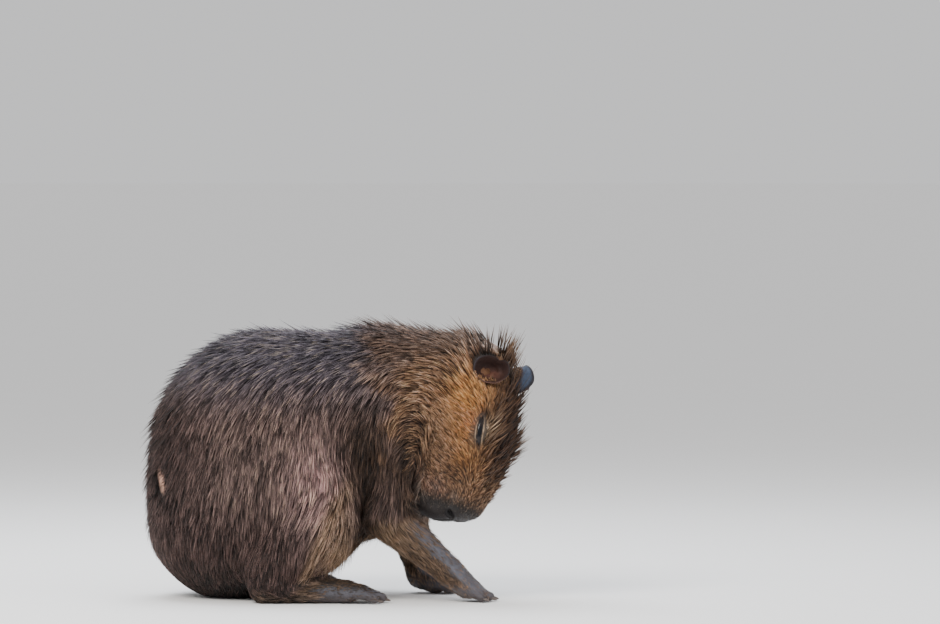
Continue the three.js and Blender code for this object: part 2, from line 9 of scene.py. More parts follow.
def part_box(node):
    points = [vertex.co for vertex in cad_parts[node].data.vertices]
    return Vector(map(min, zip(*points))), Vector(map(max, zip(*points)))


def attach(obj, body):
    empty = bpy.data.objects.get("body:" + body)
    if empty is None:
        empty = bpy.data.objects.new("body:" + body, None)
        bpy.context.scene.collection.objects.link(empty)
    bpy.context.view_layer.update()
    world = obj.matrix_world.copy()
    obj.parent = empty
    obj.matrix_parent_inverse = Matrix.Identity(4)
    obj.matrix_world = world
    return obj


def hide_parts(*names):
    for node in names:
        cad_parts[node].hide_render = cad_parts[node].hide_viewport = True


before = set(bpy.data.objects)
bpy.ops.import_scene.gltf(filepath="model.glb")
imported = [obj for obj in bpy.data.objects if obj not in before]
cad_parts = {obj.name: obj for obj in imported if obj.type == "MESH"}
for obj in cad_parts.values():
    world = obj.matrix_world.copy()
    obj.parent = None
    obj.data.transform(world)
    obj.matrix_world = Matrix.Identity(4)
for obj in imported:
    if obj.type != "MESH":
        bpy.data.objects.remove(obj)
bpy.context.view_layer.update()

# Looks of a young adult capybara sitting on its haunches, head bowed and turned to its right.
# Shapes are worked out in millimetres, +X towards the animal's front, +Y to its left, +Z up, and the
# animal's own origin. placed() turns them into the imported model's frame in metres.

F = np.float32
rng = np.random.default_rng(11)

# Driving dimensions of the looks
SKIN_STEP = 5.0          # facet size of the skin, halved on head and feet and again on eyes and muzzle
SKIN_DEPTH = 7.0         # how far the skin of the trunk lies inside the tips of the coat
FACE_DEPTH = 2.6         # the same on the face
EYE_RADII = (24.0, 15.0, 13.0)   # eyeball along the lids, across them and outwards
SLIT_HALF = (25.5, 3.7)          # half length and half height of the opening between the lids
EYE_AT = (105, 26)               # place of the eyes in the head, forward and up from the crown
BODY_TUFTS = 88000
HEAD_TUFTS = 36000
LEG_TUFTS = 9000
EAR_TUFTS = 1400


def unit(v):
    v = np.asarray(v, float)
    return v / np.linalg.norm(v)


def soft(x, low, high):
    """Rises smoothly from 0 at low to 1 at high."""
    t = np.clip((x - low) / (high - low), 0, 1)
    return t * t * (3 - 2 * t)


def fade(x, low, high):
    """Falls smoothly from 1 at low to 0 at high."""
    return 1 - soft(x, low, high)


def mixed(a, b, share):
    """Rows of a where share is 0, rows of b where it is 1, and their blend between."""
    share = share[..., None]
    return a * (1 - share) + b * share


def spot(x, y, at, radii):
    """1 at a place in a plane, falling smoothly to 0 round it."""
    return np.exp(-((x - at[0]) / radii[0]) ** 2 - ((y - at[1]) / radii[1]) ** 2)


def dots(a, b):
    return (a * b).sum(-1)


def units(a):
    return a / np.maximum(np.linalg.norm(a, axis=-1, keepdims=True), 1e-6)


def gauss(p, centre, radii):
    """1 at the centre of an ellipsoid, falling smoothly to 0 outside it."""
    q = (p - np.asarray(centre, F)) / np.asarray(radii, F)
    return np.exp(-dots(q, q))


# Head frame: forward from the crown to the end of the muzzle, up through the forehead, right to its right
CROWN = np.array([250.0, -50.0, 345.0])
MUZZLE_END = np.array([178.0, -85.0, 128.0])
HEAD_ROLL = math.radians(28)
FORWARD = unit(MUZZLE_END - CROWN)
LEVEL_UP = unit(np.cross(FORWARD, [0, 1, 0]))
LEVEL_RIGHT = np.cross(FORWARD, LEVEL_UP)
UP = LEVEL_UP * math.cos(HEAD_ROLL) + LEVEL_RIGHT * math.sin(HEAD_ROLL)
RIGHT = np.cross(FORWARD, UP)
HEAD_AXES = np.array([FORWARD, UP, RIGHT])
WORLD_AXES = np.eye(3)


def in_head(s, u, r):
    return CROWN + FORWARD * s + UP * u + RIGHT * r


def local(p, centre, axes):
    """Coordinates of points along the three axes of a frame of their own."""
    q = (p - centre.astype(F)) @ axes.T.astype(F)
    return q[:, 0], q[:, 1], q[:, 2]


def head_coords(p):
    return local(p, CROWN, HEAD_AXES)


# Fields: distance-like numbers, below 0 inside the flesh, for many points at once
def blob(centre, radii, axes=WORLD_AXES, power=2.0):
    centre = np.asarray(centre, F)
    radii = np.asarray(radii, F)
    turn = axes.T.astype(F)

    def field(p):
        q = np.abs((p - centre) @ turn) / radii
        k = np.maximum((q ** power).sum(1) ** (1 / power), 1e-3)
        slope = np.linalg.norm((q / k[:, None]) ** (power - 1) / radii, axis=1)
        return (k - 1) / slope
    return field


def limb(a, b, radius_a, radius_b, side=(0, 1, 0), flat=1.0):
    a = np.asarray(a, float)
    b = np.asarray(b, float)
    length = np.linalg.norm(b - a)
    axis = (b - a) / length
    across = unit(np.asarray(side) - axis * np.dot(side, axis))
    frame3 = np.array([axis, np.cross(axis, across), across]).T.astype(F)
    start = a.astype(F)

    def field(p):
        q = (p - start) @ frame3
        t = np.clip(q[:, 0] / length, 0, 1)
        r = radius_a + (radius_b - radius_a) * t
        widths = np.stack([r, r, r * flat], 1)
        q[:, 0] -= t * length
        q = q / widths
        k = np.maximum(np.linalg.norm(q, axis=1), 1e-3)
        return (k - 1) / np.linalg.norm(q / (k[:, None] * widths), axis=1)
    return field


def blend(a, b, k):
    gap = np.maximum(k - np.abs(a - b), 0)
    return np.minimum(a, b) - gap * gap / (4 * k)


def fuse(k, *fields):
    def field(p):
        total = fields[0](p)
        for other in fields[1:]:
            total = blend(total, other(p), k)
        return total
    return field


# Trunk, haunches, upper arms and neck
trunk = fuse(
    45,
    blob([-91, 0, 212], [180, 138, 191]),
    blob([-142, 0, 118], [128, 136, 124]),
    blob([35, 0, 258], [132, 122, 141]),
    blob([12, 0, 166], [118, 104, 88]),
    blob([92, 0, 300], [88, 92, 86]),
    blob([88, 0, 189], [74, 84, 97]))


def haunch(sign):
    return fuse(
        30,
        blob([-76, sign * 94, 148], [112, 64, 124]),
        blob([-8, sign * 114, 126], [46, 44, 58]),
        limb([-14, sign * 120, 98], [-78, sign * 124, 44], 44, 40))


def upper_arm(shoulder, elbow):
    return fuse(25, blob(shoulder, [62, 42, 88]), limb(shoulder, elbow, 50, 34))


SHOULDER_RIGHT, ELBOW_RIGHT, WRIST_RIGHT = [104, -78, 232], [92, -98, 122], [180, -100, 44]
SHOULDER_LEFT, ELBOW_LEFT, WRIST_LEFT = [92, 78, 232], [112, 84, 120], [136, 70, 28]
neck = limb([96, -5, 310], [194, -42, 327], 92, 68)
foreparts = fuse(
    42,
    trunk,
    upper_arm(SHOULDER_RIGHT, ELBOW_RIGHT),
    upper_arm(SHOULDER_LEFT, ELBOW_LEFT),
    neck)
body = fuse(24, foreparts, haunch(-1), haunch(1))

# Masses of the head, in its own frame: place, radii and how square
HEAD_MASSES = [
    ((32, -18, 0), (59, 56, 57), 2.0),
    ((100, 4, 0), (74, 46, 52), 2.5),
    ((82, -50, 0), (84, 56, 60), 2.0),
    ((142, -9, 0), (58, 57, 50), 2.5),
    ((179, -3, 0), (60, 53, 44), 2.9),
    ((200, -30, 0), (43, 34, 46), 2.5),
    ((162, -64, 0), (70, 26, 32), 2.5),
    ((105, 29, 40), (26, 16, 17), 2.0),
    ((105, 29, -40), (26, 16, 17), 2.0)]
head_mass = fuse(24, *[blob(in_head(*at), radii, HEAD_AXES, power) for at, radii, power in HEAD_MASSES])

# Feet. Toes are numbered from the inside: aside, length, splay in degrees
FORE_TOES = [(-15, 26, -16), (-5, 35, -5), (6, 33, 6), (16, 24, 18)]
HIND_TOES = [(-16, 42, -9), (0, 52, 0), (16, 42, 9)]
BALL_RIGHT, AHEAD_RIGHT = [205, -101, 22], unit([1, -0.04, 0])
BALL_LEFT, AHEAD_LEFT = [157, 61, 17], unit([1, -0.2, 0])
HIND_AHEAD = unit([1, 0, 0])
HEEL_RIGHT, HIND_BALL_RIGHT = [-92, -128, 22], [28, -132, 17]
HEEL_LEFT, HIND_BALL_LEFT = [-160, 128, 22], [-40, 134, 17]

# Ball of the foot, the way it points, toes, side that is outside, thickness of the toes
FEET = {"fore_right": (BALL_RIGHT, AHEAD_RIGHT, FORE_TOES, -1, 8),
        "fore_left": (BALL_LEFT, AHEAD_LEFT, FORE_TOES, 1, 8),
        "hind_right": (HIND_BALL_RIGHT, HIND_AHEAD, HIND_TOES, -1, 9),
        "hind_left": (HIND_BALL_LEFT, HIND_AHEAD, HIND_TOES, 1, 9)}


def toe_joints(base, forward, toe, outside, radius):
    base = np.asarray(base, float)
    aside = np.array([-forward[1] * outside, forward[0] * outside, 0])
    offset, length, splay = toe
    angle = math.radians(splay)
    ahead = forward * math.cos(angle) + aside * math.sin(angle)
    root = base + aside * offset
    knuckle = np.array([root[0], root[1], radius + 8]) + ahead * length * 0.45
    tip = np.array([root[0], root[1], radius - 1]) + ahead * length
    return root, knuckle, tip, ahead


def toes_of(base, forward, toes, outside, radius):
    fields = []
    for toe in toes:
        root, knuckle, tip, _ = toe_joints(base, forward, toe, outside, radius)
        near = limb(root, knuckle, radius + 2, radius)
        far = limb(knuckle, tip, radius, radius * 0.8)
        fields.append(fuse(6, near, far))
    return fields


def foreleg(elbow, wrist, foot):
    upper = limb(elbow, wrist, 33, 20, flat=0.92)
    lower = limb(wrist, foot[0], 20, 18, flat=1.25)
    return fuse(9, upper, lower, *toes_of(*foot))


def hind_foot(heel, foot):
    return fuse(9, limb(heel, foot[0], 24, 17, flat=1.3), *toes_of(*foot))


# Legs and feet below the coat of the trunk: field, and the corners of the box that holds it
LIMBS = [
    (foreleg(ELBOW_RIGHT, WRIST_RIGHT, FEET["fore_right"]), [40, -170, -20], [290, -30, 170]),
    (foreleg(ELBOW_LEFT, WRIST_LEFT, FEET["fore_left"]), [30, 0, -20], [240, 150, 170]),
    (hind_foot(HEEL_RIGHT, FEET["hind_right"]), [-150, -190, -20], [115, -75, 75]),
    (hind_foot(HEEL_LEFT, FEET["hind_left"]), [-230, 75, -20], [60, 190, 75]),
]

# The lines that their hair follows, in the same order
LEG_LINES = [(ELBOW_RIGHT, WRIST_RIGHT), (ELBOW_LEFT, WRIST_LEFT),
             (HEEL_RIGHT, HIND_BALL_RIGHT), (HEEL_LEFT, HIND_BALL_LEFT)]

BELLY_RAISE = 13         # how far the skin is drawn in above the folded legs
CROWN_DIP = 15           # how far it dips between the ears, below the coat


def within(p, field, low, high, away=60.0):
    """The field inside a box, and a plain large number outside it."""
    inside = np.all((p > np.asarray(low, F)) & (p < np.asarray(high, F)), axis=1)
    value = np.full(len(p), away, F)
    if inside.any():
        value[inside] = field(p[inside])
    return value


def limbs_at(p):
    return np.minimum.reduce([within(p, field, low, high) for field, low, high in LIMBS])


def head_at(p):
    return within(p, head_mass, [90, -200, 60], [340, 110, 440])


def trunk_skin(p):
    """Skin of trunk, neck and head, without the fine features."""
    outer = body(p) + SKIN_DEPTH * np.clip((p[:, 2] - 60) / 60, 0, 1)
    outer = outer + BELLY_RAISE * gauss(p, [66, 0, 88], [48, 150, 26])
    mass = head_at(p)
    skull = blend(mass, neck(p), 24)
    skull = skull + FACE_DEPTH + (SKIN_DEPTH - FACE_DEPTH) * soft(mass, 0, 22)
    skull = skull + CROWN_DIP * gauss(np.stack(head_coords(p), 1), (-2, 30, -16), (24, 24, 42))
    return blend(outer, skull, 9)


def plain_skin(p):
    legs = limbs_at(p) + 0.4
    total = blend(trunk_skin(p), legs, 12)
    return np.maximum(total, -p[:, 2])


TETRA = np.array([[1, -1, -1], [-1, -1, 1], [-1, 1, -1], [1, 1, 1]], F)


def slope_of(field, p, h=0.5):
    """Value and gradient of a field at each point."""
    total = np.zeros(len(p), F)
    slope = np.zeros((len(p), 3), F)
    for corner in TETRA:
        value = field(p + corner * h)
        total += value
        slope += value[:, None] * corner
    return total / 4, slope / (4 * h)


def settled(field, p, level=0.0, rounds=2, reach=4.0):
    """Points moved along the slope of a field until it reads level."""
    for _ in range(rounds):
        value, slope = slope_of(field, p)
        steep = np.maximum(dots(slope, slope), 0.2)
        move = np.clip((value - level) / steep, -reach, reach)
        p = (p - slope * move[:, None]).astype(F)
    return p


def netted(field, low, high, step, block=5):
    """Surface nets: points and four-cornered faces of the surface where a field is 0."""
    low = np.asarray(low, F)
    blocks = np.ceil((np.asarray(high) - low) / (step * block)).astype(int)
    count = blocks * block
    index = np.indices(blocks).reshape(3, -1).T
    rough = field((low + (index + 0.5) * step * block - 0.5 * step).astype(F)).reshape(blocks)
    near = np.abs(rough) < step * block * 1.35 + 6
    value = rough.repeat(block, 0).repeat(block, 1).repeat(block, 2).astype(F)
    wanted = np.argwhere(near.repeat(block, 0).repeat(block, 1).repeat(block, 2))
    for start in range(0, len(wanted), 250000):
        part = wanted[start:start + 250000]
        value[tuple(part.T)] = field((low + part * step).astype(F))
    corners = [(c & 1, (c >> 1) & 1, (c >> 2) & 1) for c in range(8)]

    def shifted(corner):
        return value[tuple(slice(c, n - 1 + c) for c, n in zip(corner, count))]
    inside = np.stack([shifted(corner) < 0 for corner in corners])
    on_surface = inside.any(0) & ~inside.all(0)
    cells = np.argwhere(on_surface)
    number = np.full(on_surface.shape, -1)
    number[on_surface] = np.arange(len(cells))
    v = np.stack([shifted(corner)[on_surface] for corner in corners], 1)
    total = np.zeros((len(cells), 3))
    crossings = np.zeros(len(cells))
    for a in range(8):
        for bit in (1, 2, 4):
            if a & bit:
                continue
            b = a | bit
            crossed = (v[:, a] < 0) != (v[:, b] < 0)
            t = np.where(crossed, v[:, a] / np.where(crossed, v[:, a] - v[:, b], 1), 0)
            place = np.array(corners[a]) + (np.array(corners[b]) - np.array(corners[a])) * t[:, None]
            total += place * crossed[:, None]
            crossings += crossed
    points = low + (cells + total / crossings[:, None]) * step
    faces = []
    around = {0: [(0, -1, -1), (0, 0, -1), (0, 0, 0), (0, -1, 0)],
              1: [(-1, 0, -1), (-1, 0, 0), (0, 0, 0), (0, 0, -1)],
              2: [(-1, -1, 0), (0, -1, 0), (0, 0, 0), (-1, 0, 0)]}
    for axis, cells4 in around.items():
        step_on = np.zeros(3, int)
        step_on[axis] = 1
        here = value[1:-1, 1:-1, 1:-1] < 0
        there = value[tuple(slice(1 + s, n - 1 + s) for s, n in zip(step_on, count))] < 0
        for start_inside in (True, False):
            edges = np.argwhere((here != there) & (here == start_inside)) + 1
            quad = np.stack([number[tuple((edges + np.array(cell)).T)] for cell in cells4], 1)
            faces.append(quad if start_inside else quad[:, ::-1])
    return points.astype(F), np.concatenate(faces)


def relaxed(points, faces, field, rounds=3):
    """Evens out the points among their neighbours and sets them back on the surface."""
    start = faces.ravel()
    end = np.roll(faces, -1, axis=1).ravel()
    for _ in range(rounds):
        weight = np.bincount(start, minlength=len(points)) + np.bincount(end, minlength=len(points))
        mean = np.stack([
            np.bincount(start, points[end, i], len(points)) + np.bincount(end, points[start, i], len(points))
            for i in range(3)], 1) / np.maximum(weight, 1)[:, None]
        points = settled(field, (points * 0.4 + mean * 0.6).astype(F), rounds=1)
    return points


# Features of the face, worked into the skin
LID_SLANT = math.radians(11)
LID_DEPTH = 1.4          # skin that covers the eyeball


def eye_frame(sign):
    """Centre of an eyeball and its axes along the lids, across them and outwards."""
    aim = unit(RIGHT * sign * 0.93 + UP * 0.3)
    p = in_head(*EYE_AT, sign * 26).astype(F)[None]
    for _ in range(30):
        p = p - aim.astype(F) * trunk_skin(p)[:, None] * 0.8
    _, slope = slope_of(trunk_skin, p, 3.0)
    out = unit(slope[0] + aim * 0.3)
    along = FORWARD * math.cos(LID_SLANT) + UP * math.sin(LID_SLANT)
    along = unit(along - out * np.dot(along, out))
    centre = p[0] - out * (EYE_RADII[2] + LID_DEPTH)
    return centre, np.array([along, np.cross(out, along) * sign, out])


SIDES = {"right": 1, "left": -1}
EYES = {sign: eye_frame(sign) for sign in SIDES.values()}
NOSTRIL_AT, NOSTRIL_RADII = (233, 14, 23), (13.0, 5.0, 9.0)
MOUTH_AT, MOUTH_LENGTH = in_head(252, -48, 0), 96.0
MOUTH_ACROSS = unit(UP + FORWARD * 0.16)
MOUTH_AXES = np.array([np.cross(MOUTH_ACROSS, RIGHT), MOUTH_ACROSS, RIGHT])

# Ears: place in the head, half width and half height of the cup
EAR_PLACES = {1: ((12, 20, 54), 26.5, 20.0), -1: ((1, 19, -54), 22.0, 23.5)}
EAR_DEPTH = 22.0


def ear_axes(sign):
    """An ear's axes: across it towards the forehead, up to its top, and out of its cup."""
    out = unit(RIGHT * sign * 0.82 + UP * 0.42 + FORWARD * 0.1)
    top = -FORWARD - UP * 0.2
    top = unit(top - out * np.dot(top, out))
    return np.array([np.cross(top, out) * sign, top, out])


def in_ear(p, sign):
    """1 in the hollow of an ear's cup, falling to 0 outside its rim."""
    at, half_width, half_height = EAR_PLACES[sign]
    x, v, out = local(p, in_head(*at), ear_axes(sign))
    reach = np.sqrt((x / half_width) ** 2 + (v / half_height) ** 2)
    return fade(reach, 0.8, 1.05) * soft(out, -EAR_DEPTH - 14, -EAR_DEPTH - 4)


def eye_coords(p, sign):
    return local(p, *EYES[sign])


def nostril_coords(p, sign):
    s, u, r = NOSTRIL_AT
    return local(p, in_head(s, u, sign * r), HEAD_AXES)


def mouth_coords(p):
    return local(p, MOUTH_AT, MOUTH_AXES)


def slit_at(p, sign):
    """How far across the lids a point is, as a share of the opening's half height: below 1 is open."""
    half_length, half_height = SLIT_HALF
    along, across, out = eye_coords(p, sign)
    bow = (along / half_length) ** 2
    half = half_height * np.sqrt(np.maximum(1 - bow, 0.02))
    beyond = np.maximum(np.abs(along) - half_length, 0) / 3
    share = np.abs(across + 1.4 - 1.4 * bow) / half + beyond
    return np.where(out > 0, share, 50.0)


def with_eye(f, q, sign):
    """Adds the mound over an eyeball, the fold above it, the bag below and the opening of the lids."""
    along, across, out = eye_coords(q, sign)
    lens = np.sqrt((along / 28) ** 2 + (across / 17) ** 2 + (out / 15.5) ** 2)
    f = blend(f, (lens - 1) * 15.5, 5)
    fold = np.exp(-(((across - 12 + 0.010 * along ** 2) / 1.8) ** 2) - (along / 20) ** 2)
    bag = np.exp(-(((across + 11 - 0.012 * along ** 2) / 1.6) ** 2) - (along / 17) ** 2)
    f = f + (1.3 * fold + 1.1 * bag) * (out > 0)
    return f + 5.0 * fade(slit_at(q, sign), 0.8, 1.1)


def with_nostril(f, q, sign):
    """Adds the hole of a nostril and the low wall round it."""
    ahead, over, aside = nostril_coords(q, sign)
    length, height, depth = NOSTRIL_RADII
    bent = over - 0.012 * ahead ** 2
    ring = np.sqrt((ahead / length) ** 2 + (bent / height) ** 2 + (aside / depth) ** 2)
    return f + 6.0 * fade(ring, 0.45, 1.0) - 1.6 * np.exp(-((ring - 1.35) / 0.35) ** 2)


def with_mouth(f, q):
    """Adds the line of the mouth between its lips, and the cleft of the upper lip."""
    along, across, _ = mouth_coords(q)
    on_line = soft(along, -8, 2) * fade(along, MOUTH_LENGTH - 14, MOUTH_LENGTH)
    groove = 4.2 * np.exp(-(across / 1.7) ** 2)
    lips = 1.2 * np.exp(-((np.abs(across) - 5) / 2.6) ** 2)
    s, u, r = head_coords(q)
    cleft = np.exp(-(r / 1.6) ** 2) * soft(s, 214, 226) * soft(u, -46, -40) * fade(u, 2, 12)
    return f + on_line * (groove - lips) + 2.6 * cleft


def face_skin(p):
    """The whole skin with lids, nostrils, mouth and the hollows of the ears."""
    d = plain_skin(p)
    near = np.linalg.norm(p - in_head(120, 0, 0).astype(F), axis=1) < 185
    if not near.any():
        return d
    q = p[near]
    f = d[near]
    for sign in SIDES.values():
        f = with_nostril(with_eye(f, q, sign), q, sign)
    f = with_mouth(f, q)
    for sign in SIDES.values():
        f = f + 15 * in_ear(q, sign)
    d = d.copy()
    d[near] = f
    return d


def mesh_object(name, points, faces):
    mesh = bpy.data.meshes.new(name)
    mesh.from_pydata(points.tolist(), [], faces)
    mesh.validate()
    mesh.shade_smooth()
    obj = bpy.data.objects.new(name, mesh)
    bpy.context.scene.collection.objects.link(obj)
    return obj


def finer(points, faces, chosen):
    """Splits the faces whose middle is chosen into four."""
    bm = bmesh.new()
    verts = [bm.verts.new(p) for p in points.tolist()]
    for face in faces:
        bm.faces.new([verts[i] for i in face])
    bm.faces.ensure_lookup_table()
    middles = np.array([f.calc_center_median() for f in bm.faces], F)
    edges = {e for f, wanted in zip(bm.faces, chosen(middles)) if wanted for e in f.edges}
    bmesh.ops.subdivide_edges(bm, edges=list(edges), cuts=1, use_grid_fill=True)
    bm.verts.index_update()
    new_points = np.array([v.co for v in bm.verts], F)
    new_faces = [[v.index for v in f.verts] for f in bm.faces]
    bm.free()
    return new_points, new_faces


def on_head_or_feet(m):
    return (head_at(m) < 6) | (limbs_at(m) < 4)


def on_features(m):
    """Round the eyes and on the muzzle."""
    s, _, _ = head_coords(m)
    chosen = (s > 192) & (head_at(m) < 4)
    for centre, _ in EYES.values():
        chosen |= np.linalg.norm(m - centre.astype(F), axis=1) < 34
    return chosen


def skin_mesh():
    points, faces = netted(plain_skin, [-300, -200, -30], [300, 200, 430], SKIN_STEP)
    points = relaxed(points, faces, plain_skin)
    points, faces = finer(points, faces.tolist(), on_head_or_feet)
    points = settled(plain_skin, points)
    points, faces = finer(points, faces, on_features)
    points = settled(face_skin, points, rounds=3, reach=2.5)
    points[:, 2] = np.maximum(points[:, 2], 0)
    return points, faces


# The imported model's frame, in metres: found from the eyeballs, which both models share
def middle(node):
    low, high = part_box(node)
    return (np.array(low) + np.array(high)) / 2


SHIFT = (middle("eye_right") + middle("eye_left")) / 2 - in_head(*EYE_AT, 0) / 1000
SHIFT[2] = 0


def placed(points):
    return np.asarray(points) / 1000 + SHIFT


# Colours, named by what wears them or by the painted shade and sheen that they give, given as screen values
def colour(r, g, b):
    c = np.array([r, g, b]) / 255
    return np.where(c <= 0.04045, c / 12.92, ((c + 0.055) / 1.055) ** 2.4).astype(F)


# Grey hair of the back, whose bluish tips are a painted sheen: the sky reflected on wet hair
BACK_GREY_SHEEN, BACK_SHEEN_TIP = colour(68, 61, 69), colour(130, 123, 136)
FLANK_BROWN, FLANK_TIP = colour(82, 64, 61), colour(154, 129, 120)
FLANK_SKIN = colour(74, 62, 58)
RUMP_DARK, RUMP_TIP = colour(40, 31, 30), colour(108, 86, 80)
THIGH_HAIR, THIGH_TIP, THIGH_SKIN = colour(168, 132, 128), colour(190, 161, 156), colour(196, 152, 148)
# Dark brown hair, also laid as painted shade on the shoulder and between jaw, chest and haunch; its tips
# serve only that shade
DARK_HAIR_AND_SHADE, SHADE_TIP = colour(50, 38, 32), colour(98, 78, 66)
NECK_GOLD, NECK_TIP = colour(90, 63, 45), colour(176, 136, 104)
ELBOW_TAN, ELBOW_TIP = colour(116, 88, 66), colour(208, 174, 140)
# Grey skin of the legs, with a bluish tint that is a painted reflection of the sky
LEG_GREY_SHEEN, LEG_TIP = colour(84, 84, 93), colour(150, 128, 108)
FOOT_DARK = colour(70, 60, 58)
SCAR_TAN = colour(204, 156, 132)
CHEEK_TAN, CHEEK_TIP = colour(112, 78, 56), colour(182, 143, 110)
ORANGE_PATCH, ORANGE_TIP = colour(158, 100, 50), colour(218, 154, 92)
BRIDGE_DARK, BRIDGE_TIP = colour(46, 31, 25), colour(102, 73, 55)
UPPER_LIP, UPPER_LIP_TIP = colour(108, 76, 66), colour(166, 124, 106)
MUZZLE_GREY, MUZZLE_TIP = colour(44, 38, 37), colour(130, 116, 106)
LIP_PINK = colour(172, 118, 108)
CREAM = colour(222, 188, 152)
LID_DARK = colour(26, 22, 24)
EYE_BROWN, IRIS_DARK = colour(34, 28, 28), colour(10, 11, 16)
EAR_BROWN, EAR_FLESH = colour(44, 29, 26), colour(98, 64, 54)
EAR_RIM, EAR_RIM_REAR, EAR_RIM_LOW = colour(40, 31, 31), colour(60, 54, 58), colour(104, 76, 68)
EAR_BACK, EAR_BACK_SHEEN, EAR_BACK_RIM = colour(62, 46, 40), colour(66, 76, 95), colour(40, 38, 44)
CLAW_ROOT, CLAW_TIP = colour(44, 38, 38), colour(92, 80, 74)
PALEST_HAIR = colour(206, 178, 158)


def wave(p, scale, seed):
    """Smooth random numbers, about -1 to 1, that change over the given distance in mm."""
    own = np.random.default_rng(seed)
    total = np.zeros(len(p))
    for _ in range(7):
        turn = unit(own.normal(size=3)) * 2 * math.pi / (scale * own.uniform(0.7, 1.6))
        total += np.sin(p @ turn + own.uniform(0, 2 * math.pi))
    return total / 2.6


def both_sides(p):
    """The same point with its side always to the right, as the markings are the same on both."""
    return np.stack([p[:, 0], -np.abs(p[:, 1]), p[:, 2]], 1)


class Paint:
    """Colours of hair at middle and tip and of bare skin at many points, laid one over another."""

    def __init__(self, count):
        self.hair = np.tile(FLANK_BROWN, (count, 1))
        self.tip = np.tile(FLANK_TIP, (count, 1))
        self.skin = np.tile(FLANK_SKIN, (count, 1))

    def lay(self, weight, hair, tip, skin=None):
        """Lays one set of colours over the others. Skin not named takes the hair's, a little darker."""
        share = np.clip(weight, 0, 1)
        self.hair[:] = mixed(self.hair, hair, share)
        self.tip[:] = mixed(self.tip, tip, share)
        self.skin[:] = mixed(self.skin, hair * 0.8 if skin is None else skin, share)


def mark_trunk(lay, p):
    x, _, z = p.T
    m = both_sides(p)
    # Painted sheen: bluish tips on the back's grey hair, as the sky reflected on wet hair
    lay(soft(z, 270, 370) * fade(x, 60, 140), BACK_GREY_SHEEN, BACK_SHEEN_TIP)
    lay(soft(-x, 120, 235) * fade(z, 270, 350), RUMP_DARK, RUMP_TIP)
    lay(0.95 * soft(190 - z, 0, 90) * fade(x, -50, 30), RUMP_DARK, RUMP_TIP)
    lay(1.3 * gauss(m, [-10, -150, 192], [42, 70, 60]), THIGH_HAIR, THIGH_TIP, THIGH_SKIN)
    # Painted shade on the shoulder and the side in front of the haunch
    lay(1.2 * gauss(m, [62, -100, 240], [48, 90, 70]), DARK_HAIR_AND_SHADE, SHADE_TIP)
    ragged = 26 * wave(p, 42, 8)
    lay(0.65 * soft(x + ragged, 40, 110) * soft(z, 300, 350), DARK_HAIR_AND_SHADE * 1.2, FLANK_TIP)
    lay(soft(x + ragged, 74, 140) * soft(z, 180, 230), NECK_GOLD, NECK_TIP)
    # Painted shadow in the fold between the neck and chest and the jaw
    lay(1.2 * gauss(m, [118, -90, 200], [32, 60, 72]), DARK_HAIR_AND_SHADE * 0.7, SHADE_TIP * 0.7)
    lay(0.8 * gauss(m, [22, -150, 104], [22, 50, 62]), NECK_GOLD * 0.9, ELBOW_TIP)
    thigh_edge = np.exp(-((x - 14 + 0.4 * (150 - z)) / 10) ** 2) * soft(z, 20, 50) * fade(z, 160, 220)
    lay(0.75 * thigh_edge, ELBOW_TAN, ELBOW_TIP)
    lay(soft(x, 30, 70) * fade(z, 110, 150), ELBOW_TAN, ELBOW_TIP)
    lay(soft(x, -10, 20) * fade(z, 84, 112) * fade(x, 80, 110), ELBOW_TAN * 1.15, ELBOW_TIP)
    # Painted shade in the crease between the haunch and the shoulder and belly
    lay(1.2 * gauss(m, [60, -110, 165], [17, 70, 82]), DARK_HAIR_AND_SHADE * 0.5, SHADE_TIP * 0.5)


def mark_legs(lay, p):
    x, _, z = p.T
    on_leg = fade(limbs_at(p), 3, 14) * fade(-trunk_skin(p), -12, -2)
    hind = 1 - 0.55 * fade(x, 60, 100)[:, None]
    # Bare leg skin: its own grey, with a painted bluish sheen
    lay(on_leg, ELBOW_TAN * 0.9 * hind, LEG_TIP * hind, LEG_GREY_SHEEN)
    lay(on_leg * fade(z, 6, 20) * 0.7, FOOT_DARK, LEG_TIP, FOOT_DARK)


def mark_head(lay, p, on_head):
    _, _, z = p.T
    s, u, r = head_coords(p)
    lay(on_head, CHEEK_TAN, CHEEK_TIP)
    lay(on_head * soft(z, 348, 368) * 0.7, DARK_HAIR_AND_SHADE * 1.5, FLANK_TIP * 0.75)
    lay(on_head * (0.5 + 0.5 * wave(p, 34, 5)) * 0.4, DARK_HAIR_AND_SHADE * 1.1, NECK_TIP)
    lay(on_head * 0.45 * fade(u, -50, -14) * soft(s, 90, 150), DARK_HAIR_AND_SHADE * 1.4, CHEEK_TIP * 0.8)
    below_ear = spot(s, u, (66, 6), (38, 28))
    by_eye = spot(s, u, (105, 16), (34, 22))
    before_eye = 0.7 * spot(s, u, (150, 26), (30, 20))
    lay(on_head * np.maximum.reduce([below_ear, by_eye, before_eye]), ORANGE_PATCH, ORANGE_TIP)
    bridge = soft(u, 22, 36) * soft(s, 10, 40) * fade(s, 140, 200)
    lay(on_head * bridge * 0.6, DARK_HAIR_AND_SHADE * 1.2, BRIDGE_TIP)
    lay(on_head * bridge * fade(np.abs(r), 16, 36) * 0.9, BRIDGE_DARK, BRIDGE_TIP)
    # Painted shadow between the jaw and the chest, laid again over the head's colours
    shadow_behind_cheek = 1.1 * gauss(both_sides(p), [122, -95, 208], [13, 70, 52])
    lay(shadow_behind_cheek, DARK_HAIR_AND_SHADE * 0.5, SHADE_TIP * 0.55)


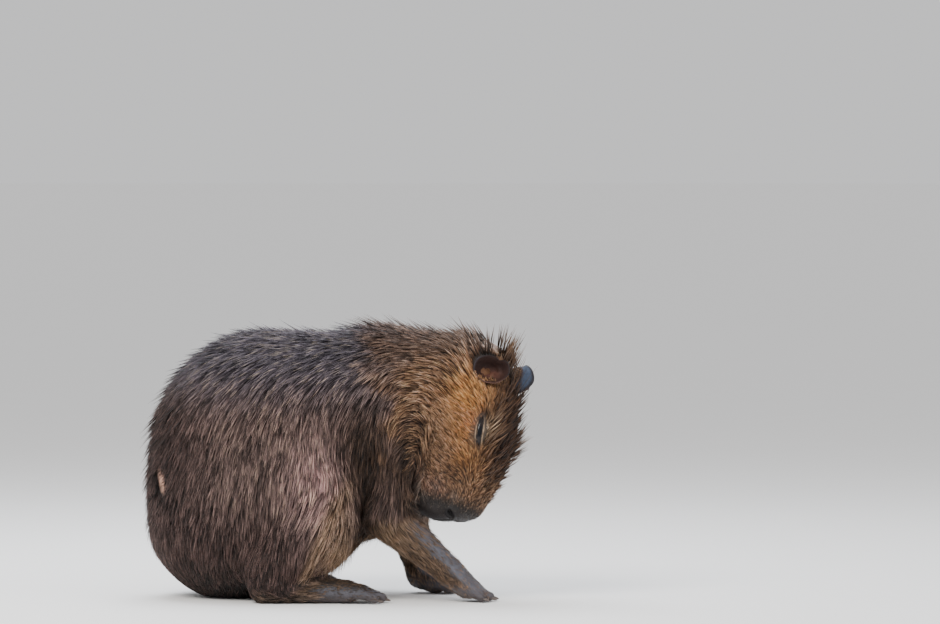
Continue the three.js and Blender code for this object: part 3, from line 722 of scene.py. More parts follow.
def mark_muzzle(lay, p, on_head):
    s, u, _ = head_coords(p)
    lay(on_head * spot(s, u, (177, 16), (15, 15)) * 0.7, BRIDGE_DARK, BRIDGE_TIP)
    lay(on_head * spot(s, u, (205, -12), (15, 24)) * 0.8, UPPER_LIP, UPPER_LIP_TIP, UPPER_LIP)
    lay(on_head * soft(s, 206, 224), MUZZLE_GREY * 0.8, MUZZLE_TIP * 0.7, MUZZLE_GREY * 0.8)
    flecks = soft(s, 194, 208) * fade(s, 214, 228) * soft(wave(p, 18, 9), 0.1, 0.9)
    lay(on_head * 0.5 * flecks, MUZZLE_TIP, MUZZLE_TIP)


def mark_eye(lay, p, sign):
    """Cream rings of short hair round the lids, and the lids' dark edges."""
    along, across, out = eye_coords(p, sign)
    patchy = 0.8 + 0.35 * wave(p, 9, 14)
    ring = np.sqrt((along / 25) ** 2 + ((across + 1) / 13) ** 2) + (out < 0) * 5
    lay(fade(ring, 0.5, 1.2) * patchy * 0.75, CREAM * 0.5, CREAM * 0.8, CREAM * 0.5)
    below = spot(along, across, (-8, -15), (16, 11)) * (out > -6)
    lay(below * patchy * 0.8, CREAM * ORANGE_PATCH * 2.0, CREAM * 0.9, CREAM * 0.5)
    above = spot(along, across, (-1, 8.5), (16, 5)) * (out > -3)
    lay(above * patchy * 0.95, CREAM * 0.6, CREAM * 0.9, CREAM * 0.7)
    fleck = spot(along, across, (12, 11), (4.5, 3.5)) * (out > 0)
    lay(fleck * 0.8, BRIDGE_DARK, BRIDGE_DARK, BRIDGE_DARK)
    lay(fade(slit_at(p, sign), 1.1, 1.45), LID_DARK, LID_DARK, LID_DARK)


def mark_nostril_shade(lay, p, sign):
    # Painted shade: the hollow of the nostril and its rim are painted near black
    ahead, over, aside = nostril_coords(p, sign)
    ring = np.sqrt((ahead / 15) ** 2 + (over / 8) ** 2 + (aside / 10) ** 2)
    lay(fade(ring, 0.75, 1.25), LID_DARK * 0.7, LID_DARK, LID_DARK * 0.7)


def mark_lip(lay, p, mass):
    """The pink edge of the lower lip."""
    along, across, _ = mouth_coords(p)
    edge = np.exp(-((across + 3.5) / 2.4) ** 2) * soft(along, -6, 2) * fade(along, 60, 86) * (mass < 4)
    lay(edge * 0.8, LIP_PINK, LIP_PINK, LIP_PINK)


def markings(p):
    """Colours of hair at middle and tip, and of bare skin, at each point of the skin."""
    paint = Paint(len(p))
    mass = head_at(p)
    on_head = fade(mass, 4, 30)
    mark_trunk(paint.lay, p)
    mark_legs(paint.lay, p)
    over_withers = 0.8 * soft(p[:, 2], 342, 382) * soft(p[:, 0], 50, 100)
    paint.lay(over_withers, DARK_HAIR_AND_SHADE * 1.5, FLANK_TIP * 0.75)
    mark_head(paint.lay, p, on_head)
    mark_muzzle(paint.lay, p, on_head)
    for sign in SIDES.values():
        mark_eye(paint.lay, p, sign)
        mark_nostril_shade(paint.lay, p, sign)
    mark_lip(paint.lay, p, mass)
    paint.lay(scar_at(p) * (0.85 + 0.3 * wave(p, 12, 21)), RUMP_DARK * 1.3, RUMP_TIP * 0.8, SCAR_TAN)
    return paint.hair, paint.tip, paint.skin


def scar_at(p):
    """1 along the narrow old scar, which runs down the right side of the rump."""
    x, y, z = p.T
    middle_x = -249 - 0.23 * (z - 177)
    return 1.2 * np.exp(-((x - middle_x) / 5.2) ** 2 - ((z - 177) / 19) ** 4) * (y < 0)


def bare_at(p, n):
    """How bare of hair the skin is: 1 on lids, nose, scar and in the ears, less on feet and thigh."""
    s, _, _ = head_coords(p)
    legs = fade(limbs_at(p), 3, 10) * soft(trunk_skin(p), 1, 10)
    front = soft(0.8 * n[:, 0] + 0.6 * n[:, 2], -0.2, 0.45) * soft(p[:, 0], 90, 150)
    bare = legs * np.maximum(front * 0.84, 0.86 * fade(p[:, 2], 10, 34)) * soft(p[:, 0], -40, 0)
    bare = np.maximum(bare, 0.75 * gauss(both_sides(p), [-10, -150, 192], [32, 70, 46]))
    bare = np.maximum(bare, 0.95 * np.minimum(scar_at(p) * 1.2, 1))
    bare = np.maximum(bare, (head_at(p) < 8) * soft(s, 216, 234) * 0.93)
    for sign in SIDES.values():
        bare = np.maximum(bare, fade(slit_at(p, sign), 1.35, 1.9))
        bare = np.maximum(bare, soft(in_ear(p, sign), 0.1, 0.4))
    return np.clip(bare, 0, 1)


def neckness(p):
    return soft(p[:, 0], 84, 150) * soft(p[:, 2], 190, 250)


def trunk_lie(p):
    """Down the flanks and back along the spine, backwards on the neck and straight down on the elbows."""
    x, y, z = p.T
    back = -0.12 - 0.9 * soft(z, 245, 400)
    lie = np.stack([back, 0.15 * np.sign(y) * soft(z, 330, 400), -1 + 0.45 * soft(z, 300, 410)], 1)
    thigh_front = soft(x, -70, 10) * fade(x, 36, 60) * fade(z, 140, 210)
    lie = mixed(lie, np.array([-0.5, 0, -1]), thigh_front)
    lie = mixed(lie, np.array([-1, 0, -0.12]), neckness(p))
    return mixed(lie, np.array([-0.25, 0, -1]), soft(x, 40, 80) * fade(z, 90, 150))


def head_lie(p):
    """Back from the nose over the forehead, down and back on cheeks and jaw, and away from the eyes."""
    s, u, _ = head_coords(p)
    cheek = -0.8 * UP - 0.55 * FORWARD
    jaw = -0.9 * UP - 0.2 * FORWARD
    lie = mixed(cheek, jaw, fade(u, -60, -20))
    lie = mixed(lie, -FORWARD - 0.15 * UP, soft(u, 20, 40))
    lie = mixed(lie, -FORWARD - 0.25 * UP, soft(s, 185, 215))
    for sign in SIDES.values():
        along, across, out = eye_coords(p, sign)
        near_eye = spot(along, across, (0, 0), (24, 12)) * (out > -5)
        _, axes = EYES[sign]
        away = np.outer(along / 24, axes[0]) + np.outer(across / 12, axes[1])
        lie = lie + away * near_eye[:, None] * 0.9
    return lie


def lie_at(p, n):
    """The way the hair lies at each point: a direction along the skin."""
    lie = mixed(trunk_lie(p), head_lie(p), fade(head_at(p), 6, 26))
    off_trunk = soft(trunk_skin(p), 0, 8)
    for (field, low, high), (a, b) in zip(LIMBS, LEG_LINES):
        lie = mixed(lie, unit(np.subtract(b, a)), fade(within(p, field, low, high), 2, 12) * off_trunk)
    sway = np.stack([wave(p, 70, seed) for seed in (31, 32, 33)], 1) * 0.07
    lie = units(lie) + sway
    return units(lie - n * dots(lie, n)[:, None])


def add_tones(mesh, colours):
    attribute = mesh.color_attributes.new("Tone", "FLOAT_COLOR", "POINT")
    rgba = np.ones((len(colours), 4), F)
    rgba[:, :3] = np.clip(colours, 0, 1)
    attribute.data.foreach_set("color", rgba.ravel())


# The coat
class Ground:
    """The skin's triangles, with their place on its unwrap, for tufts to grow on."""

    def __init__(self, obj, points):
        mesh = obj.data
        mesh.calc_loop_triangles()
        count = len(mesh.loop_triangles) * 3
        vertices = np.zeros(count, np.int32)
        corners = np.zeros(count, np.int32)
        uv = np.zeros(len(mesh.loops) * 2, F)
        mesh.loop_triangles.foreach_get("vertices", vertices)
        mesh.loop_triangles.foreach_get("loops", corners)
        mesh.uv_layers["OFBake"].data.foreach_get("uv", uv)
        self.points = points[vertices.reshape(-1, 3)]
        self.uv = uv.reshape(-1, 2)[corners].reshape(-1, 3, 2)
        self.middles = self.points.mean(1)
        self.normals = units(slope_of(plain_skin, self.middles, 1.0)[1])
        a, b, c = self.points.transpose(1, 0, 2)
        self.area = np.linalg.norm(np.cross(b - a, c - a), axis=1) / 2


class Roots:
    """Places on the skin where tufts grow, with its slope and the lie of the hair there."""

    def __init__(self, ground, weight, count):
        chance = ground.area * weight
        chance = chance / chance.sum()
        pick = np.searchsorted(np.cumsum(chance), rng.random(count) * 0.9999999)
        pick = np.minimum(pick, len(chance) - 1)
        u, v = rng.random((2, count))
        flip = u + v > 1
        u[flip], v[flip] = 1 - u[flip], 1 - v[flip]
        share = np.stack([1 - u - v, u, v], 1)[:, :, None]
        self.at = (ground.points[pick] * share).sum(1).astype(F)
        self.uv = (ground.uv[pick] * share).sum(1)
        self.normal = units(slope_of(plain_skin, self.at, 1.0)[1])
        self.lie = lie_at(self.at, self.normal)


def clumped(roots, lengths, spacing, pull, keep_along, per_clump):
    """Moves of the tips towards those of the clump that each tuft belongs to, and the clump's number."""
    count = len(roots.at)
    centres = rng.choice(count, max(count // per_clump, 1), replace=False)
    tree = kdtree.KDTree(len(centres))
    for i, c in enumerate(centres):
        tree.insert(roots.at[c], i)
    tree.balance()
    found = [tree.find(p) for p in roots.at.tolist()]
    clump = np.array([f[1] for f in found])
    far = np.array([f[2] for f in found])
    tips = roots.at + roots.lie * lengths[:, None]
    move = tips[centres][clump] - tips
    along = dots(move, roots.lie)[:, None] * roots.lie
    move = move - along * (1 - keep_along)
    return move * (pull * fade(far, spacing, spacing * 2.2))[:, None], clump


def clear_of_bare(roots, lengths):
    """Lengths cut short where a tuft would reach into the hollow of an ear or over the scar."""
    inside = np.zeros(len(lengths))
    for share in (0.3, 0.65, 1.0):
        at = roots.at + roots.lie * (lengths * share)[:, None]
        scar = scar_at(at)
        inside = np.maximum.reduce([inside, in_ear(at, 1), in_ear(at, -1), scar * (scar > 0.22)])
    return np.where(inside > 0.05, lengths * 0.3, lengths)


ROOT_DEPTH = 1.2     # how far below the skin tufts begin


def tuft_points(roots, lengths, widths, move, levels, lift):
    """Seven points of each tuft: three round its root, three round its middle and the tip."""
    base = roots.at - roots.normal * ROOT_DEPTH
    mid = roots.at + roots.lie * (lengths * 0.46)[:, None] + move * 0.3
    tip = roots.at + roots.lie * lengths[:, None] + move
    if lift is None:
        mid = settled(plain_skin, mid.astype(F), levels[0], 1, 9.0)
        tip = settled(plain_skin, tip.astype(F), levels[1], 2, 12.0)
    else:
        mid = mid + roots.normal * (lift * lengths * 0.42)[:, None]
        tip = tip + roots.normal * (lift * lengths)[:, None]
    mid[:, 2] = np.maximum(mid[:, 2], 1.0)
    tip[:, 2] = np.maximum(tip[:, 2], 0.6)
    half = units(np.cross(roots.normal, roots.lie)) * (widths * 0.5)[:, None]
    ridge = roots.normal * (widths * 0.42)[:, None]
    return np.stack([base + half * 0.8, base - half * 0.8, base + ridge,
                     mid + half, mid - half, mid + ridge, tip], 1)


def tuft_tones(hair, tips, clump, spread, shade):
    """Colours of a tuft's points: dark at the root, partly its own colour and partly painted shade deep in
    the coat, pale at the tip, and a little unlike its neighbours'.
    """
    own = spread * rng.normal(0, 1, len(clump)) * 0.85
    shared = spread * rng.normal(0, 1, clump.max() + 1)[clump]
    bright = shade * np.exp(np.clip(own + shared, -1.3, 1.0))[:, None, None]
    # Roots darkened well below the middles: partly painted shade among the tufts
    levels = np.stack([hair * 0.12] * 3 + [hair * 0.72 + tips * 0.08] * 3 + [tips * 1.1], 1)
    return np.minimum(levels * bright, PALEST_HAIR)


# Faces of one tuft, the patch it has on the unwrap, and how many tufts share a piece
TUFT_FACES = np.array([[0, 2, 1], [0, 1, 4], [0, 4, 3], [1, 2, 5], [1, 5, 4], [2, 0, 3], [2, 3, 5],
                       [3, 4, 6], [4, 5, 6], [5, 3, 6]])
PATCH_SIZE = 0.003
TUFT_PATCH = PATCH_SIZE * np.array([[0.5, -0.5], [-0.5, -0.5], [0, -0.5],
                                    [0.5, 0], [-0.5, 0], [0, 0], [0, 0.5]])
TUFTS_PER_PIECE = 19000


def tufts(name, slot, roots, lengths, widths, levels=None, lift=None, pull=0.5, spread=0.3, shade=1.0,
          spacing=9, per_clump=9, keep_along=0.0, wears=None):
    """Joined meshes of closed, three-sided, tapered tufts.

    levels are the heights over the skin that their middles and tips follow. With lift instead, they stand
    off it, that steeply. spread is how unlike in tone they are, and wears their colours if not the skin's.
    """
    lengths = clear_of_bare(roots, lengths)
    move, clump = clumped(roots, lengths, spacing, pull, keep_along, per_clump)
    points = tuft_points(roots, lengths, widths, move, levels, lift)
    hair, tips = wears or markings(roots.at)[:2]
    tones = tuft_tones(hair, tips, clump, spread, shade)
    uv = roots.uv[:, None] + TUFT_PATCH
    order = np.argsort(roots.at[:, 0], kind="stable")
    parts = math.ceil(len(order) / TUFTS_PER_PIECE)
    for number, chosen in enumerate(np.array_split(order, parts)):
        triangles = (TUFT_FACES + np.arange(len(chosen))[:, None, None] * 7).reshape(-1, 3)
        label = name if parts == 1 else f"{name}_{number + 1}"
        piece = triangle_object(label, placed(points[chosen].reshape(-1, 3)), triangles,
                                tones[chosen].reshape(-1, 3), uv[chosen].reshape(-1, 2))
        shown(piece, coat_hair, slot)


def triangle_object(name, points, triangles, tones, uv):
    mesh = bpy.data.meshes.new(name)
    mesh.vertices.add(len(points))
    mesh.vertices.foreach_set("co", points.astype(F).ravel())
    mesh.loops.add(triangles.size)
    mesh.loops.foreach_set("vertex_index", triangles.astype(np.int32).ravel())
    mesh.polygons.add(len(triangles))
    mesh.polygons.foreach_set("loop_start", np.arange(0, triangles.size, 3, dtype=np.int32))
    mesh.update(calc_edges=True)
    mesh.shade_smooth()
    add_tones(mesh, tones)
    layer = mesh.uv_layers.new(name="OFBake")
    layer.data.foreach_set("uv", uv[triangles.ravel()].astype(F).ravel())
    obj = bpy.data.objects.new(name, mesh)
    bpy.context.scene.collection.objects.link(obj)
    return obj


# Materials
def new_material(name, roughness, specular=0.5):
    material = bpy.data.materials.new(name)
    material.use_nodes = True
    tree = material.node_tree
    shader = next(n for n in tree.nodes if n.type == "BSDF_PRINCIPLED")
    shader.inputs["Roughness"].default_value = roughness
    shader.inputs["Specular IOR Level"].default_value = specular
    return material, tree, shader


def node(tree, kind, **settings):
    made = tree.nodes.new(kind)
    for key, value in settings.items():
        if key in made.inputs:
            made.inputs[key].default_value = value
        else:
            setattr(made, key, value)
    return made


def textured(tree, kind, **settings):
    """A texture node that reads the place on the object."""
    where = node(tree, "ShaderNodeTexCoord")
    made = node(tree, kind, **settings)
    tree.links.new(where.outputs["Object"], made.inputs["Vector"])
    return made


def noise(tree, scale):
    return textured(tree, "ShaderNodeTexNoise", Scale=scale, Detail=4.0, Roughness=0.6).outputs["Fac"]


def toned(tree, shader, scale, low, high):
    """Base colour from the mesh's own tones, made lighter and darker by fine noise."""
    tones = node(tree, "ShaderNodeVertexColor", layer_name="Tone")
    spread = node(tree, "ShaderNodeMapRange", **{"To Min": low, "To Max": high})
    mix = node(tree, "ShaderNodeMix", data_type="RGBA", blend_type="MULTIPLY", Factor=1.0)
    tree.links.new(noise(tree, scale), spread.inputs["Value"])
    tree.links.new(tones.outputs["Color"], mix.inputs["A"])
    tree.links.new(spread.outputs["Result"], mix.inputs["B"])
    tree.links.new(mix.outputs["Result"], shader.inputs["Base Color"])


def bumped(tree, shader, heights, strength, distance):
    bump = node(tree, "ShaderNodeBump", Strength=strength, Distance=distance)
    tree.links.new(heights, bump.inputs["Height"])
    tree.links.new(bump.outputs["Normal"], shader.inputs["Normal"])


def coat_material():
    material, tree, shader = new_material("coat_hair", 0.42, 0.28)
    toned(tree, shader, 420, 0.72, 1.28)
    return material


def skin_material():
    material, tree, shader = new_material("bare_skin", 0.5, 0.4)
    toned(tree, shader, 110, 0.45, 1.55)
    creases = textured(tree, "ShaderNodeTexVoronoi", feature="DISTANCE_TO_EDGE", Scale=330)
    both = node(tree, "ShaderNodeMath", operation="ADD")
    tree.links.new(creases.outputs["Distance"], both.inputs[0])
    tree.links.new(noise(tree, 700), both.inputs[1])
    bumped(tree, shader, both.outputs[0], 0.7, 0.0014)
    return material


def ear_material():
    material, tree, shader = new_material("ear_skin", 0.66, 0.22)
    toned(tree, shader, 190, 0.3, 1.7)
    bumped(tree, shader, noise(tree, 480), 0.6, 0.001)
    return material


def eye_material():
    material, tree, shader = new_material("eyeball", 0.16, 0.2)
    toned(tree, shader, 60, 0.8, 1.2)
    shader.inputs["Coat Weight"].default_value = 0.08
    shader.inputs["Coat Roughness"].default_value = 0.03
    return material


def claw_material():
    material, tree, shader = new_material("claw_horn", 0.38)
    toned(tree, shader, 220, 0.7, 1.35)
    bumped(tree, shader, noise(tree, 500), 0.35, 0.0004)
    return material


def floor_material():
    material, tree, shader = new_material("pale_floor", 0.9)
    ramp = node(tree, "ShaderNodeValToRGB")
    ramp.color_ramp.elements[0].color = (0.955, 0.95, 0.94, 1)
    ramp.color_ramp.elements[1].color = (0.975, 0.97, 0.965, 1)
    tree.links.new(noise(tree, 3), ramp.inputs["Fac"])
    tree.links.new(ramp.outputs["Color"], shader.inputs["Base Color"])
    return material


# Pieces
def sheet_faces(rows, columns):
    """Four-cornered faces between the rings of points of a tube or a cup."""
    faces = []
    for i in range(rows - 1):
        for j in range(columns):
            k = (j + 1) % columns
            faces.append([i * columns + j, i * columns + k, (i + 1) * columns + k, (i + 1) * columns + j])
    return faces


def faced_out(piece):
    """Joins points that share a place and turns the faces outwards."""
    bm = bmesh.new()
    bm.from_mesh(piece.data)
    bmesh.ops.remove_doubles(bm, verts=bm.verts, dist=1e-6)
    bmesh.ops.recalc_face_normals(bm, faces=bm.faces)
    bm.to_mesh(piece.data)
    bm.free()


def shown(piece, material, slot, *nodes):
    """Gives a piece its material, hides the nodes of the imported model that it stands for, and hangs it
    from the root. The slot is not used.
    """
    piece.data.materials.append(material)
    if nodes:
        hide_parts(*nodes)
    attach(piece, "root")


def unwrap(piece):
    bpy.context.view_layer.objects.active = piece
    piece.select_set(True)
    bpy.ops.object.mode_set(mode="EDIT")
    bpy.ops.mesh.select_all(action="SELECT")
    bpy.ops.uv.smart_project(angle_limit=math.radians(66), island_margin=0.002)
    bpy.ops.object.mode_set(mode="OBJECT")
    piece.data.uv_layers[0].name = "OFBake"


LIMB_PARTS = ("upper_arm", "haunch", "shank", "forearm", "forefoot", "hind_foot")
# The skin under the coat is painted dark, as the shade between the tufts
COVERED_PAINTED_SHADE = 0.13     # how dark the skin is below hair, against the hair's own tone


def make_skin(points, faces):
    """One skin for all of the flesh, in its own tones where bare, and painted dark as the shade between
    tufts where the coat covers it.
    """
    skin = mesh_object("skin", placed(points), faces)
    unwrap(skin)
    normals = units(slope_of(plain_skin, points, 1.0)[1])
    hair_tone, _, skin_tone = markings(points)
    covered = 1 - bare_at(points, normals)
    add_tones(skin.data, mixed(skin_tone, hair_tone * COVERED_PAINTED_SHADE, covered))
    limbs = [f"{part}_{side}" for side in SIDES for part in LIMB_PARTS]
    shown(skin, skin_material(), "coat", "head", "neck", "torso", *limbs)
    return skin


EYE_ROWS, EYE_COLUMNS = 33, 48


def make_eye(sign, side, material):
    """An eyeball, nearly black in the middle and dark brown round it."""
    centre, axes = EYES[sign]
    polar = math.pi * np.arange(EYE_ROWS)[:, None] / (EYE_ROWS - 1)
    turn = 2 * math.pi * np.arange(EYE_COLUMNS)[None] / EYE_COLUMNS
    along, across = np.sin(polar) * np.cos(turn), np.sin(polar) * np.sin(turn)
    ball = np.stack([along, across, np.cos(polar) + 0 * turn], -1).reshape(-1, 3)
    faces = [face[::-1] for face in sheet_faces(EYE_ROWS, EYE_COLUMNS)]
    piece = mesh_object(f"eyeball_{side}", placed(centre + (ball * EYE_RADII) @ axes), faces)
    faced_out(piece)
    co = np.array([v.co for v in piece.data.vertices])
    at = ((co - SHIFT) * 1000 - centre) @ axes.T
    ring = np.hypot(at[:, 0], at[:, 1])
    add_tones(piece.data, mixed(EYE_BROWN, IRIS_DARK, fade(ring, 6, 11)))
    shown(piece, material, "eye", f"eye_{side}")


# Ears: rounded cups with a rim, a notch in the upper edge and fleshy folds inside
EAR_RINGS, EAR_COLUMNS = 26, 72
EAR_SHARE = np.linspace(0.02, 1, EAR_RINGS)[:, None]
EAR_TURN = (np.arange(EAR_COLUMNS) / EAR_COLUMNS * 2 * math.pi)[None]
EAR_SQUARENESS = {1: 2.6, -1: 2.0}
NOTCH_AT = {1: math.radians(66), -1: math.radians(98)}


def ear_outline(sign):
    """How far an ear's rim reaches at each turn, against an ellipse."""
    power = EAR_SQUARENESS[sign]
    square = (np.abs(np.cos(EAR_TURN)) ** power + np.abs(np.sin(EAR_TURN)) ** power) ** (-1 / power)
    notch = 1 - 0.17 * np.exp(-((EAR_TURN - NOTCH_AT[sign]) / math.radians(10)) ** 2)
    lobe = 1 + 0.05 * np.exp(-((EAR_TURN - math.radians(105)) / math.radians(20)) ** 2)
    return square * notch * lobe


def ear_sheet(sign):
    """The cup of an ear from its bottom to its rim, in the ear's own axes."""
    _, half_width, half_height = EAR_PLACES[sign]
    reach = EAR_SHARE * ear_outline(sign)
    v = reach * np.sin(EAR_TURN) * half_height
    above, below = v / half_height, -v / half_height
    x = reach * np.cos(EAR_TURN) * half_width * (1 - 0.25 * soft(below, 0.0, 1.0))
    bowl = -EAR_DEPTH * (1 - EAR_SHARE ** 2.1)
    if sign > 0:
        lean = 8 * soft(above, 0.0, 1.0) ** 2 + 2.5 * soft(below, 0.3, 1.0)
    else:
        lean = 6 * EAR_SHARE ** 2 * (1 - above ** 2)
    curl = -2.2 * soft(EAR_SHARE, 0.86, 1.0) * soft(np.sin(EAR_TURN), -0.2, 0.6)
    return x, v, bowl + lean + curl


def ear_folds(x, v):
    """Height of the two lumps and two ridges of flesh in an ear's cup."""
    lumps = 5.0 * spot(x, v, (5, -9), (4.5, 4.0)) + 4.0 * spot(x, v, (-4, -11), (3.5, 4.5))
    front_ridge = 2.6 * np.exp(-((x - 11 + 0.25 * v) / 2.2) ** 2) * soft(-v, -14, 2)
    rear_ridge = 1.8 * np.exp(-((x + 9 - 0.3 * v) / 2.4) ** 2) * soft(-v, -12, 2)
    return lumps + front_ridge + rear_ridge


def ear_inside(sign):
    """Points and tones of the hollow of an ear."""
    at, half_width, half_height = EAR_PLACES[sign]
    x, v, w = ear_sheet(sign)
    points = in_head(*at) + np.stack([x, v, w + ear_folds(x, v)], -1) @ ear_axes(sign)
    tone = mixed(EAR_BROWN, EAR_FLESH, spot(x, v, (1, -6), (12, 7)))
    edge = mixed(EAR_RIM, EAR_RIM_REAR, soft(-x / half_width, 0.2, 0.9))
    edge = mixed(edge, EAR_RIM_LOW, soft(-v / half_height, 0.35, 0.9))
    return points, mixed(tone, edge, soft(EAR_SHARE, 0.9, 1.0))


def ear_outside(sign):
    """Points and tones of the back of an ear."""
    at, half_width, _ = EAR_PLACES[sign]
    x, v, w = ear_sheet(sign)
    x = x * (1 + 0.02 * EAR_SHARE)
    thick = 2.6 - 1.2 * soft(EAR_SHARE, 0.5, 1.0)
    points = in_head(*at) + np.stack([x, v, w - thick], -1) @ ear_axes(sign)
    sheen = soft(EAR_SHARE, 0.6, 0.72) * soft(x / half_width, -0.05, 0.3)
    tone = mixed(EAR_BACK, EAR_BACK_SHEEN, sheen)
    return points, mixed(tone, EAR_BACK_RIM, soft(EAR_SHARE, 0.9, 0.96))


def make_ear(sign, name, material):
    inside, inside_tone = ear_inside(sign)
    outside, outside_tone = ear_outside(sign)
    count = EAR_RINGS * EAR_COLUMNS
    faces = sheet_faces(EAR_RINGS, EAR_COLUMNS)
    faces += [[i + count for i in face[::-1]] for face in faces]
    bottom = list(range(EAR_COLUMNS))
    rim = count - EAR_COLUMNS
    for j in bottom:
        k = (j + 1) % EAR_COLUMNS
        faces.append([rim + j, rim + k, count + rim + k, count + rim + j])
    faces.append(bottom)
    faces.append([count + j for j in bottom[::-1]])
    piece = mesh_object(name, placed(np.concatenate([inside, outside]).reshape(-1, 3)), faces)
    faced_out(piece)
    piece.data.shade_smooth()
    add_tones(piece.data, np.concatenate([inside_tone, outside_tone]).reshape(-1, 3))
    shown(piece, material, "ear", name)


CLAW_SIZE = (16.0, 8.5, 6.0)     # length, width and height of a claw
CLAW_REACH = 4.5                 # how far its middle lies past the tip of the toe
CLAW_CLEARANCE = 2.2             # how high its root lies over the floor
CLAW_RINGS, CLAW_COLUMNS = 12, 20


def rounded_end(t, start):
    """1 up to start, then the curve of a rounded end down to nearly 0 at 1."""
    return np.sqrt(1.01 - np.clip((t - start) / (1 - start), 0, 1) ** 2)


def claw_points(centre, axis):
    """Rings of a rounded section, half as deep below, from a claw's root to its tip."""
    length, width, height = CLAW_SIZE
    across = unit(np.cross([0, 0, 1], axis))
    axes = np.array([axis, across, np.cross(axis, across)])
    t = np.linspace(0, 1, CLAW_RINGS)[:, None]
    turn = 2 * math.pi * np.arange(CLAW_COLUMNS)[None] / CLAW_COLUMNS
    wide = width / 2 * (1 - 0.2 * t) * rounded_end(t, 0.6)
    tall = height / 2 * (1.05 - 0.3 * t) * rounded_end(t, 0.65) * np.where(np.sin(turn) < 0, 0.55, 1.0)
    ahead = (t - 0.45) * length + 0 * turn
    points = centre + np.stack([ahead, np.cos(turn) * wide, np.sin(turn) * tall - 0.8 * t * t], -1) @ axes
    points = points.reshape(-1, 3)
    points[:, 2] = np.maximum(points[:, 2], 0.1)
    return points


def make_claws(material):
    """Blunt, hoof-like claws, one to each toe."""
    root = list(range(CLAW_COLUMNS))
    faces = sheet_faces(CLAW_RINGS, CLAW_COLUMNS)
    faces.append(root[::-1])
    faces.append([(CLAW_RINGS - 1) * CLAW_COLUMNS + j for j in root])
    tones = mixed(CLAW_ROOT, CLAW_TIP, np.repeat(np.linspace(0, 1, CLAW_RINGS), CLAW_COLUMNS))
    for label, (ball, forward, toes, outside, radius) in FEET.items():
        for number, toe in enumerate(toes, 1):
            _, _, tip, ahead = toe_joints(ball, forward, toe, outside, radius)
            centre = tip + ahead * CLAW_REACH
            centre[2] = CLAW_SIZE[2] / 2 + CLAW_CLEARANCE
            points = claw_points(centre, unit([ahead[0], ahead[1], -0.16]))
            piece = mesh_object(f"horn_{label}_{number}", placed(points), faces)
            add_tones(piece.data, tones)
            shown(piece, material, "claw", f"claw_{label}_{number}")


# Camera, floor and lights
CAMERA_AT = (210.0, -8000.0, 625.5)
CAMERA_LENS = 204.2
CAMERA_DIP = math.radians(1.42)      # how far it looks down
FLOOR_HALF = 900.0


def add_camera():
    camera = bpy.data.cameras.new("camera")
    camera.sensor_width = 36
    camera.lens = CAMERA_LENS
    camera.clip_end = 3000
    obj = bpy.data.objects.new("camera", camera)
    bpy.context.scene.collection.objects.link(obj)
    obj.location = Vector(placed(CAMERA_AT))
    obj.rotation_euler = (math.pi / 2 - CAMERA_DIP, 0, 0)
    bpy.context.scene.camera = obj


def add_light(name, at, aim, size, power, tint):
    data = bpy.data.lights.new(name, "AREA")
    data.size = size
    data.energy = power
    data.color = tint
    obj = bpy.data.objects.new(name, data)
    obj.location = at
    obj.rotation_euler = (Vector(aim) - Vector(at)).to_track_quat("-Z", "Y").to_euler()
    bpy.context.scene.collection.objects.link(obj)


def add_studio():
    corners = np.array([[-1, -1, 0], [1, -1, 0], [1, 1, 0], [-1, 1, 0]]) * FLOOR_HALF
    floor = mesh_object("floor", corners, [[0, 1, 2, 3]])
    floor.data.materials.append(floor_material())
    world = bpy.data.worlds.new("studio")
    world.use_nodes = True
    background = world.node_tree.nodes["Background"]
    background.inputs["Color"].default_value = (0.89, 0.89, 0.9, 1)
    background.inputs["Strength"].default_value = 0.88
    bpy.context.scene.world = world
    add_light("key", (-1.4, -2.4, 2.6), (0, 0, 0.2), 1.6, 120, (1.0, 0.96, 0.9))
    add_light("fill", (2.6, -1.8, 1.2), (0.1, 0, 0.2), 2.0, 30, (0.95, 0.97, 1.0))
    add_light("top", (-0.4, 0.9, 2.4), (-0.05, 0, 0.25), 1.6, 70, (0.88, 0.93, 1.0))


add_camera()
add_studio()
skin_points, skin_faces = skin_mesh()
skin = make_skin(skin_points, skin_faces)
eyeball = eye_material()
ear_skin = ear_material()
for side, sign in SIDES.items():
    make_eye(sign, side, eyeball)
for side, sign in SIDES.items():
    make_ear(sign, f"ear_{side}", ear_skin)
make_claws(claw_material())

# How much of each kind of hair the triangles of the skin carry
coat_hair = coat_material()
density = 1.0
ground = Ground(skin, skin_points)
head_share = (head_at(ground.middles) < 4).astype(F)
on_foreparts = (trunk_skin(ground.middles) > 1) & (ground.middles[:, 0] > -22)
leg_share = ((limbs_at(ground.middles) < 4) & on_foreparts).astype(F)
off_floor = soft(ground.middles[:, 2], 0.5, 6)
open_skin = 1 - bare_at(ground.middles, ground.normals)
thinner_below = 0.35 + 0.65 * soft(ground.normals[:, 2], -0.95, -0.5)
trunk_share = (1 - head_share) * (1 - leg_share) * off_floor * open_skin * thinner_below


def grown(weight, count):
    return Roots(ground, weight, int(count * density))


